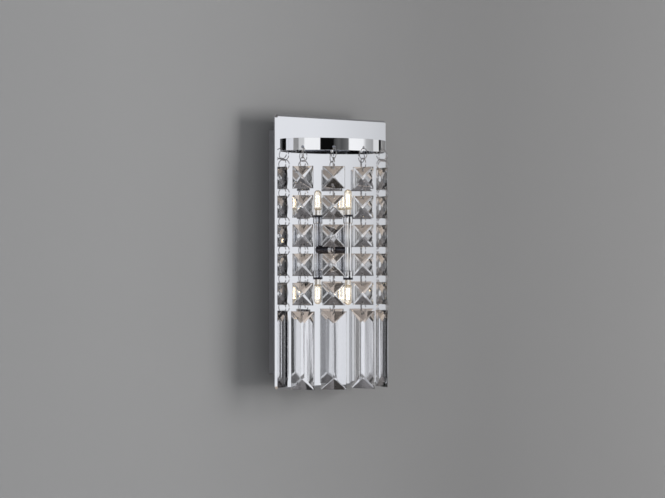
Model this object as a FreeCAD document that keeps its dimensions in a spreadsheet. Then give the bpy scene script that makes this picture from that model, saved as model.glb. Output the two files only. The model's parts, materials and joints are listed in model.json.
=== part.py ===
import FreeCAD, Part
import Sketcher
import math
import os
from types import SimpleNamespace

# Crystal wall sconce, in millimetres.
# Frame: the wall is the plane y = 0 and the room is towards -Y, +Z is up, and the origin lies on the
# wall behind the middle of the mirror plate.
# A pressed mirror plate stands off the wall on a steel back box. A half-ellipse band near its top
# carries five strands, each of five square crystals and a long prism, joined by wire links.
# Behind them an arm holds an upright tube with a capsule bulb at each end.

Vector = FreeCAD.Vector
Placement = FreeCAD.Placement
Rotation = FreeCAD.Rotation
AXIS_X = Vector(1, 0, 0)
AXIS_Y = Vector(0, 1, 0)
AXIS_Z = Vector(0, 0, 1)

DIMENSIONS = {
    # mirror plate, a pan pressed from sheet
    "plate_width": 175.0,
    "plate_height": 300.0,
    "plate_standoff": 28.0,
    "plate_rim_depth": 4.0,
    "plate_sheet": 1.2,
    "plate_corner_radius": 3.5,
    "plate_edge_radius": 2.0,
    # back box, open to the wall
    "box_inset": 16.0,
    "box_sheet": 1.0,
    "earth_stud_radius": 2.0,
    "earth_stud_length": 9.0,
    "earth_stud_rise": 20.0,
    # wall bracket inside the box
    "bracket_sheet": 1.5,
    "bracket_height": 24.0,
    "bracket_tab_depth": 17.0,
    "bracket_side_gap": 0.3,
    "slot_spacing": 60.0,
    "slot_width": 4.5,
    "slot_length": 10.0,
    "grommet_neck_radius": 6.5,
    "grommet_flange_radius": 8.5,
    "grommet_flange_thickness": 1.5,
    "grommet_bore_radius": 4.0,
    # screws that hold the box to the bracket
    "side_screw_radius": 2.0,
    "side_screw_head_radius": 3.6,
    "side_screw_head_height": 2.2,
    "side_screw_from_wall": 11.0,
    # crown band
    "band_margin": 18.7,
    "band_reach": 47.9,
    "band_height": 13.2,
    "band_drop": 25.2,
    "band_sheet": 1.2,
    "band_hole_radius": 1.7,
    "band_hole_rise": 3.4,
    "band_foot_length": 10.0,
    "band_screw_radius": 1.5,
    "band_screw_head_radius": 2.8,
    "band_screw_head_height": 1.6,
    "band_nut_radius": 3.1,
    "band_nut_height": 2.4,
    # strands: parameter angles of the band's ellipse, from its middle, and the way each strand's
    # crystals happen to face at rest, turned from straight out of the wall
    "inner_strand_deg": 33.7,
    "outer_strand_deg": 68.7,
    "strand_1_facing_deg": -72.0,
    "strand_2_facing_deg": -53.0,
    "strand_3_facing_deg": -75.0,
    "strand_4_facing_deg": 67.0,
    "strand_5_facing_deg": 45.0,
    "link_radius": 6.0,
    "link_wire_radius": 0.45,
    "link_gap": 0.3,
    "top_link_twist_deg": 35.0,
    # square crystals
    "crystal_side": 24.5,
    "crystal_girdle": 3.0,
    "crystal_depth": 10.0,
    "crystal_hole_inset": 2.4,
    "crystal_hole_radius": 1.1,
    "hole_seat": 0.1,
    # long prisms
    "prism_width": 28.0,
    "prism_depth": 11.0,
    "prism_side_edge": 2.6,
    "prism_end_edge": 2.4,
    "prism_length": 85.5,
    "prism_bevel": 13.0,
    "prism_hole_inset": 3.2,
    "prism_hole_radius": 1.3,
    # lamp
    "lamp_reach": 23.9,
    "lamp_middle": 5.25,
    "lamp_length": 72.3,
    "tube_radius": 4.0,
    "tube_wall": 0.8,
    "cup_radius": 5.4,
    "cup_height": 10.0,
    "cup_wall": 0.6,
    "cup_base": 1.2,
    "holder_gap": 0.15,
    "holder_recess": 0.8,
    "pin_spacing": 4.0,
    "pin_radius": 0.35,
    "pin_hole_radius": 0.45,
    "pin_length": 6.5,
    "pinch_width": 7.4,
    "pinch_thickness": 3.0,
    "pinch_height": 6.0,
    "bulb_radius": 4.3,
    "bulb_wall": 0.8,
    "bulb_length": 28.6,
    "bulb_gap": 0.3,
    "filament_radius": 0.6,
    "filament_rise": 3.0,
    "pin_hole_spare": 0.5,
    "arm_height": 2.5,
    "arm_radius": 3.3,
    "arm_bore_radius": 2.3,
    "arm_foot_radius": 5.5,
    "arm_foot_length": 2.5,
    "arm_thread_length": 7.5,
    "arm_nut_radius": 6.0,
    "arm_nut_height": 3.0,
    "collar_radius": 4.9,
    "collar_length": 18.0,
    # electrical parts
    "transformer_width": 33.0,
    "transformer_depth": 19.0,
    "transformer_height": 108.0,
    "transformer_edge_radius": 2.0,
    "transformer_side_gap": 12.0,
    "transformer_rise": 15.0,
    "terminal_width": 30.0,
    "terminal_depth": 14.0,
    "terminal_height": 17.0,
    "terminal_side_gap": 15.5,
    "terminal_rise": 66.0,
    "terminal_pitch": 9.0,
    "terminal_bore_radius": 1.6,
    "terminal_screw_rise": 12.0,
    "lead_radius": 0.9,
    "lead_loop": 5.0,
    "lead_spacing": 4.0,
    # clearances, and how far a cutting shape runs past what it cuts
    "fit_clearance": 0.05,
    "free_clearance": 0.2,
    "overrun": 1.0,
}

CRYSTALS_PER_STRAND = 5
CRYSTALS_ABOVE_JOINT = 3

doc = FreeCAD.newDocument("sconce")
sheet = doc.addObject("Spreadsheet::Sheet", "Sizes")
for row, (alias, number) in enumerate(DIMENSIONS.items(), start=1):
    sheet.set(f"A{row}", alias)
    sheet.set(f"B{row}", str(number))
    sheet.setAlias(f"B{row}", alias)
doc.recompute()
size = SimpleNamespace(**{alias: float(sheet.get(alias)) for alias in DIMENSIONS})

# Places that several pieces share, as expressions on the sheet and as the numbers that they have now
BOX_WIDTH = "(Sizes.plate_width - 2 * Sizes.box_inset)"
BOX_HEIGHT = "(Sizes.plate_height - 2 * Sizes.box_inset)"
BAND_HALF_WIDTH = "(Sizes.plate_width / 2 - Sizes.band_margin)"
BAND_MIDDLE_Z = "(Sizes.plate_height / 2 - Sizes.band_drop - Sizes.band_height / 2)"
BAND_SCREW_X = f"({BAND_HALF_WIDTH} - Sizes.band_sheet - Sizes.band_foot_length / 2)"
TRANSFORMER_LEFT = f"(Sizes.box_sheet + Sizes.transformer_side_gap - {BOX_WIDTH} / 2)"
TRANSFORMER_LOW = f"(Sizes.box_sheet + Sizes.transformer_rise - {BOX_HEIGHT} / 2)"
TERMINAL_RIGHT = f"({BOX_WIDTH} / 2 - Sizes.box_sheet - Sizes.terminal_side_gap)"
TERMINAL_LOW = f"(Sizes.box_sheet + Sizes.terminal_rise - {BOX_HEIGHT} / 2)"
TERMINAL_X = f"({TERMINAL_RIGHT} - Sizes.terminal_width / 2)"


def value_of(expression):
    """The number that an expression on the sheet has now."""
    return float(sheet.evalExpression(expression))


plate_front_y = -size.plate_standoff
panel_inner_y = plate_front_y + size.plate_sheet + size.box_sheet
box_width = value_of(BOX_WIDTH)
band_half_width = value_of(BAND_HALF_WIDTH)
band_middle_z = value_of(BAND_MIDDLE_Z)
band_bottom = band_middle_z - size.band_height / 2
band_screw_x = value_of(BAND_SCREW_X)
transformer_x = value_of(TRANSFORMER_LEFT) + size.transformer_width / 2
transformer_low = value_of(TRANSFORMER_LOW)
terminal_x = value_of(TERMINAL_X)
terminal_low = value_of(TERMINAL_LOW)
lamp_y = plate_front_y - size.lamp_reach
tube_half_length = size.lamp_length / 2 - size.cup_height + size.cup_base

nodes = []


def node(item, label):
    """Names a finished piece and puts it on the list that is exported."""
    item.Label = label
    nodes.append(item)
    return item


def primitive(kind, name, sizes, place=None):
    """Adds a Part primitive whose sizes are expressions on the sheet."""
    item = doc.addObject("Part::" + kind, name)
    for prop, expression in sizes.items():
        item.setExpression(prop, expression)
    item.Placement = place or Placement()
    return item


def fuse(name, pieces):
    item = doc.addObject("Part::MultiFuse", name)
    item.Shapes = pieces
    return item


def cut(name, base, tools):
    item = doc.addObject("Part::Cut", name)
    item.Base = base
    item.Tool = tools[0] if len(tools) == 1 else fuse(name + "_tools", tools)
    return item


def group(name, pieces):
    """Keeps identical pieces as separate solids of one node."""
    item = doc.addObject("Part::Compound", name)
    item.Links = pieces
    return item


def along(axis, base):
    """A placement that turns a primitive's own Z axis to the given direction, from a base point."""
    return Placement(base, Rotation(AXIS_Z, axis))


def block(name, width, depth, height, corner):
    """A box of three expressions, with its lowest corner at a point."""
    sizes = {"Length": width, "Width": depth, "Height": height}
    return primitive("Box", name, sizes, Placement(corner, Rotation()))


def rod(name, radius, length, base, axis=AXIS_Z):
    """A cylinder of two expressions, from a base point along an axis."""
    return primitive("Cylinder", name, {"Radius": radius, "Height": length}, along(axis, base))


def origin_plane(body, role):
    for feature in body.Origin.OriginFeatures:
        if feature.Role == role:
            return feature
    raise ValueError(role)


def new_sketch(body, name, role, offset):
    """A sketch on one of the body's own origin planes, moved along its normal by an expression."""
    drawn = body.newObject("Sketcher::SketchObject", name)
    drawn.AttachmentSupport = [(origin_plane(body, role), "")]
    drawn.MapMode = "FlatFace"
    drawn.setExpression("AttachmentOffset.Base.z", offset)
    return drawn


def polygon(drawn, corners):
    """Closed outline whose corners are held to the sketch's origin by pairs of expressions."""
    numbers = [(value_of(x), value_of(y)) for x, y in corners]
    count = len(corners)
    for i in range(count):
        start = Vector(*numbers[i], 0)
        end = Vector(*numbers[(i + 1) % count], 0)
        drawn.addGeometry(Part.LineSegment(start, end))
    for i in range(count):
        drawn.addConstraint(Sketcher.Constraint("Coincident", i, 2, (i + 1) % count, 1))
    for i, expressions in enumerate(corners):
        for kind, number, expression in zip(("DistanceX", "DistanceY"), numbers[i], expressions):
            held = drawn.addConstraint(Sketcher.Constraint(kind, -1, 1, i, 1, number))
            drawn.setExpression(f"Constraints[{held}]", expression)


def rectangle(drawn, width, height):
    """A rectangle about the sketch's origin, of two expressions."""
    right, top = f"({width}) / 2", f"({height}) / 2"
    polygon(drawn, [(f"-{right}", f"-{top}"), (right, f"-{top}"), (right, top), (f"-{right}", top)])


def circle(drawn, radius, across, up):
    """A circle of a radius expression, its centre held by two more."""
    centre = Vector(value_of(across), value_of(up), 0)
    index = drawn.addGeometry(Part.Circle(centre, AXIS_Z, value_of(radius)))
    held = drawn.addConstraint(Sketcher.Constraint("Radius", index, value_of(radius)))
    drawn.setExpression(f"Constraints[{held}]", radius)
    for kind, number, expression in (("DistanceX", centre.x, across), ("DistanceY", centre.y, up)):
        held = drawn.addConstraint(Sketcher.Constraint(kind, -1, 1, index, 3, number))
        drawn.setExpression(f"Constraints[{held}]", expression)


def feature(body, kind, name, profile, length=None, reverse=False, through=False, middle=False):
    """A pad or pocket of a sketch, made the tip of its body."""
    made = body.newObject("PartDesign::" + kind, name)
    made.Profile = profile
    made.Reversed = reverse
    made.Midplane = middle
    if through:
        made.Type = "ThroughAll"
    else:
        made.setExpression("Length", length)
    body.Tip = made
    doc.recompute()
    return made


def edges_along(shape, axis):
    """Names of the straight edges of a shape that run along an axis."""
    found = []
    for number, edge in enumerate(shape.Edges, start=1):
        if isinstance(edge.Curve, Part.Line) and abs(edge.Curve.Direction.dot(axis)) > 0.999:
            found.append(f"Edge{number}")
    return found


def edges_at(shape, axis, level):
    """Names of the edges of a shape that lie in the plane across an axis at a level."""
    found = []
    for number, edge in enumerate(shape.Edges, start=1):
        box = edge.BoundBox
        low, high = (box.YMin, box.YMax) if axis == AXIS_Y else (box.ZMin, box.ZMax)
        if abs(low - level) < 1e-4 and abs(high - level) < 1e-4:
            found.append(f"Edge{number}")
    return found


def rounded(body, name, base, names, radius):
    made = body.newObject("PartDesign::Fillet", name)
    made.Base = (base, names)
    made.setExpression("Radius", radius)
    body.Tip = made
    doc.recompute()
    return made


def check_smaller(before, after, name):
    if after.Shape.Volume >= before.Shape.Volume - 1e-6:
        raise RuntimeError(name + " cut nothing")


# ---------------------------------------------------------------- mirror plate
def make_backplate():
    """A shallow pan: rounded sheet with a rim turned back towards the wall."""
    body = doc.addObject("PartDesign::Body", "plate_body")
    face = new_sketch(body, "plate_outline", "XZ_Plane", "Sizes.plate_standoff - Sizes.plate_rim_depth")
    rectangle(face, "Sizes.plate_width", "Sizes.plate_height")
    pad = feature(body, "Pad", "plate_pad", face, "Sizes.plate_rim_depth")
    uprights = edges_along(pad.Shape, AXIS_Y)
    corners = rounded(body, "plate_corners", pad, uprights, "Sizes.plate_corner_radius")
    front = edges_at(corners.Shape, AXIS_Y, plate_front_y)
    edge = rounded(body, "plate_front_edge", corners, front, "Sizes.plate_edge_radius")
    hollow = new_sketch(body, "plate_hollow", "XZ_Plane", "Sizes.plate_standoff - Sizes.plate_rim_depth")
    rims = "2 * Sizes.plate_sheet"
    rectangle(hollow, f"Sizes.plate_width - {rims}", f"Sizes.plate_height - {rims}")
    depth = "Sizes.plate_rim_depth - Sizes.plate_sheet"
    pan = feature(body, "Pocket", "plate_pan", hollow, depth, reverse=True)
    check_smaller(edge, pan, "plate_pan")
    fixing_holes(body, "plate_holes", pan)
    return node(body, "backplate")


def fixing_holes(body, name, before):
    """Holes for the lamp arm and the two band screws, through plate and box panel alike."""
    drawn = new_sketch(body, name, "XZ_Plane", "0")
    circle(drawn, "Sizes.arm_radius + Sizes.fit_clearance", "0", "Sizes.arm_height")
    for side in ("", "-"):
        screw_radius = "Sizes.band_screw_radius + Sizes.fit_clearance"
        circle(drawn, screw_radius, side + BAND_SCREW_X, BAND_MIDDLE_Z)
    made = feature(body, "Pocket", name + "_cut", drawn, reverse=True, through=True)
    check_smaller(before, made, name)
    return made


# ---------------------------------------------------------------- back box
def make_back_box():
    """A steel tray, open to the wall, whose front panel is welded to the plate; it holds the earth stud."""
    depth = "(Sizes.plate_standoff - Sizes.plate_sheet)"
    body = doc.addObject("PartDesign::Body", "box_body")
    outline = new_sketch(body, "box_outline", "XZ_Plane", "0")
    rectangle(outline, BOX_WIDTH, BOX_HEIGHT)
    pad = feature(body, "Pad", "box_pad", outline, depth)
    inside = new_sketch(body, "box_inside", "XZ_Plane", "0")
    rectangle(inside, f"{BOX_WIDTH} - 2 * Sizes.box_sheet", f"{BOX_HEIGHT} - 2 * Sizes.box_sheet")
    tray = feature(body, "Pocket", "box_tray", inside, f"{depth} - Sizes.box_sheet", reverse=True)
    check_smaller(pad, tray, "box_tray")
    holes = fixing_holes(body, "box_holes", tray)
    sides = new_sketch(body, "box_side_holes", "YZ_Plane", "0")
    circle(sides, "Sizes.side_screw_radius + Sizes.free_clearance", "-Sizes.side_screw_from_wall", "0")
    bored = feature(body, "Pocket", "box_side_cut", sides, through=True, middle=True)
    check_smaller(holes, bored, "box_side_cut")
    stud = new_sketch(body, "earth_stud_outline", "XZ_Plane", f"{depth} - Sizes.box_sheet")
    stud_z = f"{TERMINAL_LOW} + Sizes.terminal_height + Sizes.earth_stud_rise"
    circle(stud, "Sizes.earth_stud_radius", TERMINAL_X, stud_z)
    feature(body, "Pad", "earth_stud", stud, "Sizes.earth_stud_length", reverse=True)
    return node(body, "back_box")


# ---------------------------------------------------------------- wall bracket and its screws
bracket_width = box_width - 2 * size.box_sheet - 2 * size.bracket_side_gap


def make_wall_bracket():
    """A strip with two tabs turned forward; two slots take the wall screws, the middle hole the cable."""
    width = f"{BOX_WIDTH} - 2 * (Sizes.box_sheet + Sizes.bracket_side_gap)"
    strip = block("bracket_blank", width, "Sizes.bracket_tab_depth", "Sizes.bracket_height",
                  Vector(-bracket_width / 2, -size.bracket_tab_depth, -size.bracket_height / 2))
    corner = Vector(-bracket_width / 2 + size.bracket_sheet, -size.bracket_tab_depth - size.bracket_sheet,
                    -size.bracket_height / 2 - size.overrun)
    space = block("bracket_space", f"{width} - 2 * Sizes.bracket_sheet", "Sizes.bracket_tab_depth",
                  "Sizes.bracket_height + 2 * Sizes.overrun", corner)
    tools = [space]
    sheet_depth = "Sizes.bracket_sheet + 2 * Sizes.overrun"
    back = -size.bracket_sheet - size.overrun
    run = (size.slot_length - size.slot_width) / 2
    for side in (-1, 1):
        centre_x = side * size.slot_spacing / 2
        for end in (-1, 1):
            tools.append(rod(f"slot_end_{side}_{end}", "Sizes.slot_width / 2", sheet_depth,
                             Vector(centre_x + end * run, back, 0), AXIS_Y))
        tools.append(block(f"slot_{side}", "Sizes.slot_length - Sizes.slot_width", sheet_depth,
                           "Sizes.slot_width", Vector(centre_x - run, back, -size.slot_width / 2)))
    tools.append(rod("bracket_cable_hole", "Sizes.grommet_neck_radius", sheet_depth,
                     Vector(0, back, 0), AXIS_Y))
    tools.append(rod("bracket_tapped_holes", "Sizes.side_screw_radius + Sizes.fit_clearance",
                     "Sizes.plate_width", Vector(-size.plate_width / 2, -size.side_screw_from_wall, 0),
                     AXIS_X))
    return node(cut("bracket", strip, tools), "wall_bracket")


def make_side_screws():
    """Two screws, through the box's sides into the bracket's tabs."""
    pieces = []
    reach = "Sizes.box_sheet + Sizes.bracket_side_gap + Sizes.bracket_sheet + 2 * Sizes.overrun"
    for side in (-1, 1):
        face = Vector(side * box_width / 2, -size.side_screw_from_wall, 0)
        head = rod(f"side_head_{side}", "Sizes.side_screw_head_radius", "Sizes.side_screw_head_height",
                   face, AXIS_X * side)
        shank = rod(f"side_shank_{side}", "Sizes.side_screw_radius", reach, face, AXIS_X * -side)
        pieces.append(fuse(f"side_screw_{side}", [head, shank]))
    return node(group("side_screw_pair", pieces), "side_screws")


def make_cable_grommet():
    """A rubber bush in the bracket's middle hole, flush with the wall."""
    depth = "Sizes.bracket_sheet + Sizes.grommet_flange_thickness"
    front = Vector(0, -size.bracket_sheet - size.grommet_flange_thickness, 0)
    neck = rod("grommet_neck", "Sizes.grommet_neck_radius", depth, front, AXIS_Y)
    flange = rod("grommet_flange", "Sizes.grommet_flange_radius", "Sizes.grommet_flange_thickness",
                 front, AXIS_Y)
    bore = rod("grommet_bore", "Sizes.grommet_bore_radius", depth + " + 2 * Sizes.overrun",
               front - AXIS_Y * size.overrun, AXIS_Y)
    return node(cut("grommet", fuse("grommet_blank", [neck, flange]), [bore]), "cable_grommet")


# ---------------------------------------------------------------- crown band
class Strand:
    """Where a strand hangs, in the middle of the band's wall, and the way that its crystals face."""

    def __init__(self, number, angle_deg, facing_deg):
        self.number = number
        angle = math.radians(angle_deg)
        across = band_half_width - size.band_sheet / 2
        reach = size.band_reach - size.band_sheet / 2
        self.x = across * math.sin(angle)
        self.y = plate_front_y - reach * math.cos(angle)
        self.band_turn = math.degrees(math.atan2(math.sin(angle) / across, math.cos(angle) / reach))
        self.facing = facing_deg

    def place(self, z, turn=0.0):
        """A placement on the strand's plumb line, its own -Y the way that its crystals face."""
        return Placement(Vector(self.x, self.y, z), Rotation(AXIS_Z, self.facing + turn))

    def hole_place(self, z, inside):
        """A placement that far inside the band, its own Z pointing out through the hole."""
        return Placement(Vector(self.x, self.y, z), Rotation(AXIS_Z, self.band_turn)).multiply(
            along(-AXIS_Y, Vector(0, inside, 0)))


STRANDS = [
    Strand(1, -size.outer_strand_deg, size.strand_1_facing_deg),
    Strand(2, -size.inner_strand_deg, size.strand_2_facing_deg),
    Strand(3, 0.0, size.strand_3_facing_deg),
    Strand(4, size.inner_strand_deg, size.strand_4_facing_deg),
    Strand(5, size.outer_strand_deg, size.strand_5_facing_deg),
]

band_hole_z = band_bottom + size.band_hole_rise


def half_ellipse_solid(name, inset, height, bottom):
    """A full elliptic cylinder about the band's centre, smaller by an inset."""
    outline = primitive("Ellipse", name + "_outline", {
        "MajorRadius": f"{BAND_HALF_WIDTH} - {inset}",
        "MinorRadius": f"Sizes.band_reach - {inset}",
    }, Placement(Vector(0, plate_front_y, bottom), Rotation()))
    solid = doc.addObject("Part::Extrusion", name)
    solid.Base = outline
    solid.DirMode = "Custom"
    solid.Dir = AXIS_Z
    solid.Solid = True
    solid.setExpression("LengthFwd", height)
    return solid


def make_crown_band():
    """A chrome strip bent to half an ellipse, its ends turned in as feet against the plate."""
    tall = "Sizes.band_height + 2 * Sizes.overrun"
    low = band_bottom - size.overrun
    outer = half_ellipse_solid("band_outer", "0", "Sizes.band_height", band_bottom)
    inner = half_ellipse_solid("band_inner", "Sizes.band_sheet", tall, low)
    behind = block("band_behind", f"2 * ({BAND_HALF_WIDTH} + Sizes.overrun)", "2 * Sizes.band_reach",
                   tall, Vector(-band_half_width - size.overrun, plate_front_y, low))
    strip = cut("band_strip", outer, [inner, behind])
    feet = []
    for side in (-1, 1):
        inner_x = band_half_width - size.band_sheet / 2 - size.band_foot_length
        low_x = min(side * inner_x, side * (inner_x + size.band_foot_length))
        feet.append(block(f"band_foot_{side}", "Sizes.band_foot_length", "Sizes.band_sheet",
                          "Sizes.band_height", Vector(low_x, plate_front_y - size.band_sheet, band_bottom)))
    holes = []
    for strand in STRANDS:
        holes.append(primitive("Cylinder", f"band_hole_{strand.number}", {
            "Radius": "Sizes.band_hole_radius", "Height": "2 * (Sizes.band_sheet + 2 * Sizes.overrun)",
        }, strand.hole_place(band_hole_z, size.band_sheet + 2 * size.overrun)))
    for side in (-1, 1):
        front = Vector(side * band_screw_x, plate_front_y - size.band_sheet - size.overrun, band_middle_z)
        holes.append(rod(f"band_screw_hole_{side}", "Sizes.band_screw_radius + Sizes.fit_clearance",
                         "Sizes.band_sheet + 2 * Sizes.overrun", front, AXIS_Y))
    return node(cut("band", fuse("band_blank", [strip] + feet), holes), "crown_band")


def make_band_screws():
    """Two screws through the feet, the plate and the box panel, each with its nut behind the panel."""
    pieces = []
    grip = "Sizes.band_sheet + Sizes.plate_sheet + Sizes.box_sheet + Sizes.band_nut_height"
    for side in (-1, 1):
        front = Vector(side * band_screw_x, plate_front_y - size.band_sheet, band_middle_z)
        head = rod(f"band_head_{side}", "Sizes.band_screw_head_radius", "Sizes.band_screw_head_height",
                   front, -AXIS_Y)
        shank = rod(f"band_shank_{side}", "Sizes.band_screw_radius", grip + " + Sizes.overrun", front,
                    AXIS_Y)
        pieces.append(fuse(f"band_screw_{side}", [head, shank]))
        nut_face = Vector(side * band_screw_x, panel_inner_y, band_middle_z)
        blank = primitive("Prism", f"band_nut_blank_{side}", {
            "Circumradius": "Sizes.band_nut_radius", "Height": "Sizes.band_nut_height",
        }, along(AXIS_Y, nut_face))
        bore = rod(f"band_nut_bore_{side}", "Sizes.band_screw_radius + Sizes.fit_clearance",
                   "Sizes.band_nut_height + 2 * Sizes.overrun", nut_face - AXIS_Y * size.overrun, AXIS_Y)
        pieces.append(cut(f"band_nut_{side}", blank, [bore]))
    return node(group("band_fixings", pieces), "band_screws")


# ---------------------------------------------------------------- lamp
def lamp_tube_cutter(name):
    """A rod as thick as the lamp tube, which saddles what meets it."""
    return rod(name, "Sizes.tube_radius", "Sizes.lamp_length",
               Vector(0, lamp_y, size.lamp_middle - size.lamp_length / 2))


def make_lamp_arm():
    """A hollow arm with a foot against the plate and a thread behind it."""
    rear_y = panel_inner_y + size.arm_thread_length
    length = "Sizes.lamp_reach + Sizes.plate_sheet + Sizes.box_sheet + Sizes.arm_thread_length"
    stem = rod("arm_stem", "Sizes.arm_radius", length, Vector(0, rear_y, size.arm_height), -AXIS_Y)
    foot = rod("arm_foot", "Sizes.arm_foot_radius", "Sizes.arm_foot_length",
               Vector(0, plate_front_y, size.arm_height), -AXIS_Y)
    bore = rod("arm_bore", "Sizes.arm_bore_radius", length + " + 2 * Sizes.overrun",
               Vector(0, rear_y + size.overrun, size.arm_height), -AXIS_Y)
    blank = fuse("arm_blank", [stem, foot])
    return node(cut("arm", blank, [bore, lamp_tube_cutter("arm_saddle")]), "lamp_arm")


def make_arm_nut():
    base = Vector(0, panel_inner_y, size.arm_height)
    blank = primitive("Prism", "arm_nut_blank", {
        "Circumradius": "Sizes.arm_nut_radius", "Height": "Sizes.arm_nut_height",
    }, along(AXIS_Y, base))
    bore = rod("arm_nut_bore", "Sizes.arm_radius + Sizes.fit_clearance",
               "Sizes.arm_nut_height + 2 * Sizes.overrun", base - AXIS_Y * size.overrun, AXIS_Y)
    return node(cut("arm_nut_turned", blank, [bore]), "arm_nut")


def make_arm_collar():
    """The dark collar where the arm meets the tube, hollowed to sit against it."""
    rear = Vector(0, lamp_y + size.tube_radius / 4 + size.collar_length, size.arm_height)
    blank = rod("collar_blank", "Sizes.collar_radius", "Sizes.collar_length", rear, -AXIS_Y)
    bore = rod("collar_bore", "Sizes.arm_radius + Sizes.fit_clearance",
               "Sizes.collar_length + Sizes.tube_radius", rear + AXIS_Y * size.overrun, -AXIS_Y)
    return node(cut("collar", blank, [bore, lamp_tube_cutter("collar_saddle")]), "arm_collar")


def make_lamp_tube():
    """The upright tube; a hole in its back lets the leads in from the arm."""
    length = "Sizes.lamp_length - 2 * Sizes.cup_height + 2 * Sizes.cup_base"
    low = Vector(0, lamp_y, size.lamp_middle - tube_half_length)
    outer = rod("tube_outer", "Sizes.tube_radius", length, low)
    bore = rod("tube_bore", "Sizes.tube_radius - Sizes.tube_wall", length + " + 2 * Sizes.overrun",
               low - AXIS_Z * size.overrun)
    inlet = rod("tube_inlet", "Sizes.arm_bore_radius", "Sizes.tube_radius + Sizes.overrun",
                Vector(0, lamp_y, size.arm_height), AXIS_Y)
    return node(cut("tube", outer, [bore, inlet]), "lamp_tube")


def lamp_end(side):
    """The frame at the lip of the upper (+1) or lower (-1) cup: its own Z points out of the cup."""
    lip = Vector(0, lamp_y, size.lamp_middle + side * size.lamp_length / 2)
    return Placement(lip, Rotation() if side > 0 else Rotation(AXIS_X, 180))


def lamp_rod(name, side, radius, length, start, x=0.0):
    """A cylinder in a lamp end's frame, from a height measured from the cup's lip."""
    place = lamp_end(side).multiply(Placement(Vector(x, 0, start), Rotation()))
    return primitive("Cylinder", name, {"Radius": radius, "Height": length}, place)


def make_lamp_cups():
    """Two cups on the tube's ends, each with a hole in its base for the tube."""
    pieces = []
    for side in (-1, 1):
        outer = lamp_rod(f"cup_outer_{side}", side, "Sizes.cup_radius", "Sizes.cup_height",
                         -size.cup_height)
        bore = lamp_rod(f"cup_bore_{side}", side, "Sizes.cup_radius - Sizes.cup_wall", "Sizes.cup_height",
                        -size.cup_height + size.cup_base)
        hole = lamp_rod(f"cup_hole_{side}", side, "Sizes.tube_radius",
                        "Sizes.cup_base + 2 * Sizes.overrun", -size.cup_height - size.overrun)
        pieces.append(cut(f"cup_{side}", outer, [bore, hole]))
    return node(group("cup_pair", pieces), "lamp_cups")


holder_bottom = -size.cup_height + size.cup_base
bulb_base = -size.holder_recess + size.bulb_gap


def make_lampholders():
    """Two ceramic lampholders in the cups, each with two contact holes for the bulb's pins."""
    pieces = []
    for side in (-1, 1):
        blank = lamp_rod(f"holder_blank_{side}", side,
                         "Sizes.cup_radius - Sizes.cup_wall - Sizes.holder_gap",
                         "Sizes.cup_height - Sizes.cup_base - Sizes.holder_recess", holder_bottom)
        holes = []
        for pin in (-1, 1):
            holes.append(lamp_rod(f"holder_hole_{side}_{pin}", side, "Sizes.pin_hole_radius",
                                  "Sizes.pin_length + Sizes.pin_hole_spare + Sizes.overrun",
                                  bulb_base - size.pin_length - size.pin_hole_spare,
                                  pin * size.pin_spacing / 2))
        pieces.append(cut(f"holder_{side}", blank, holes))
    return node(group("holder_pair", pieces), "lampholders")


def bulb_pin(side, pin, name):
    """One pin, from its tip up to the filament's level inside the envelope."""
    reach = "Sizes.pin_length + Sizes.pinch_height + Sizes.bulb_wall + Sizes.filament_rise"
    return lamp_rod(name, side, "Sizes.pin_radius", reach, bulb_base - size.pin_length,
                    pin * size.pin_spacing / 2)


def capsule(name, side, radius, low, inset):
    """A cylinder with a domed end that stands on the pinch."""
    straight = f"Sizes.bulb_length - Sizes.pinch_height - Sizes.bulb_radius - {inset}"
    wall = lamp_rod(name + "_wall", side, radius, straight, low)
    top = bulb_base + size.bulb_length - size.bulb_radius
    dome = primitive("Sphere", name + "_dome", {"Radius": radius},
                     lamp_end(side).multiply(Placement(Vector(0, 0, top), Rotation())))
    return fuse(name, [wall, dome])


def make_bulb(side, label):
    """A capsule bulb: a clear envelope on a flat pinch, and its pins and filament as a second piece."""
    shoulder = bulb_base + size.pinch_height
    outer = capsule(f"{label}_outer", side, "Sizes.bulb_radius", shoulder, "0")
    inner = capsule(f"{label}_inner", side, "(Sizes.bulb_radius - Sizes.bulb_wall)",
                    shoulder + size.bulb_wall, "Sizes.bulb_wall")
    corner = Vector(-size.pinch_width / 2, -size.pinch_thickness / 2, bulb_base)
    pinch = primitive("Box", f"{label}_pinch", {
        "Length": "Sizes.pinch_width", "Width": "Sizes.pinch_thickness",
        "Height": "Sizes.pinch_height + Sizes.bulb_wall",
    }, lamp_end(side).multiply(Placement(corner, Rotation())))
    seals = [bulb_pin(side, pin, f"{label}_seal_{pin}") for pin in (-1, 1)]
    solid = fuse(f"{label}_blank", [outer, pinch])
    node(cut(f"{label}_envelope", solid, [inner] + seals), f"{label}_glass")
    wires = [bulb_pin(side, pin, f"{label}_wire_{pin}") for pin in (-1, 1)]
    level = bulb_base + size.pinch_height + size.bulb_wall + size.filament_rise - size.filament_radius
    coil_place = lamp_end(side).multiply(
        Placement(Vector(-size.pin_spacing / 2, 0, level), Rotation(AXIS_Z, AXIS_X)))
    coil = primitive("Cylinder", f"{label}_coil", {
        "Radius": "Sizes.filament_radius", "Height": "Sizes.pin_spacing",
    }, coil_place)
    node(fuse(f"{label}_pin_frame", wires + [coil]), f"{label}_pins")


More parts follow.
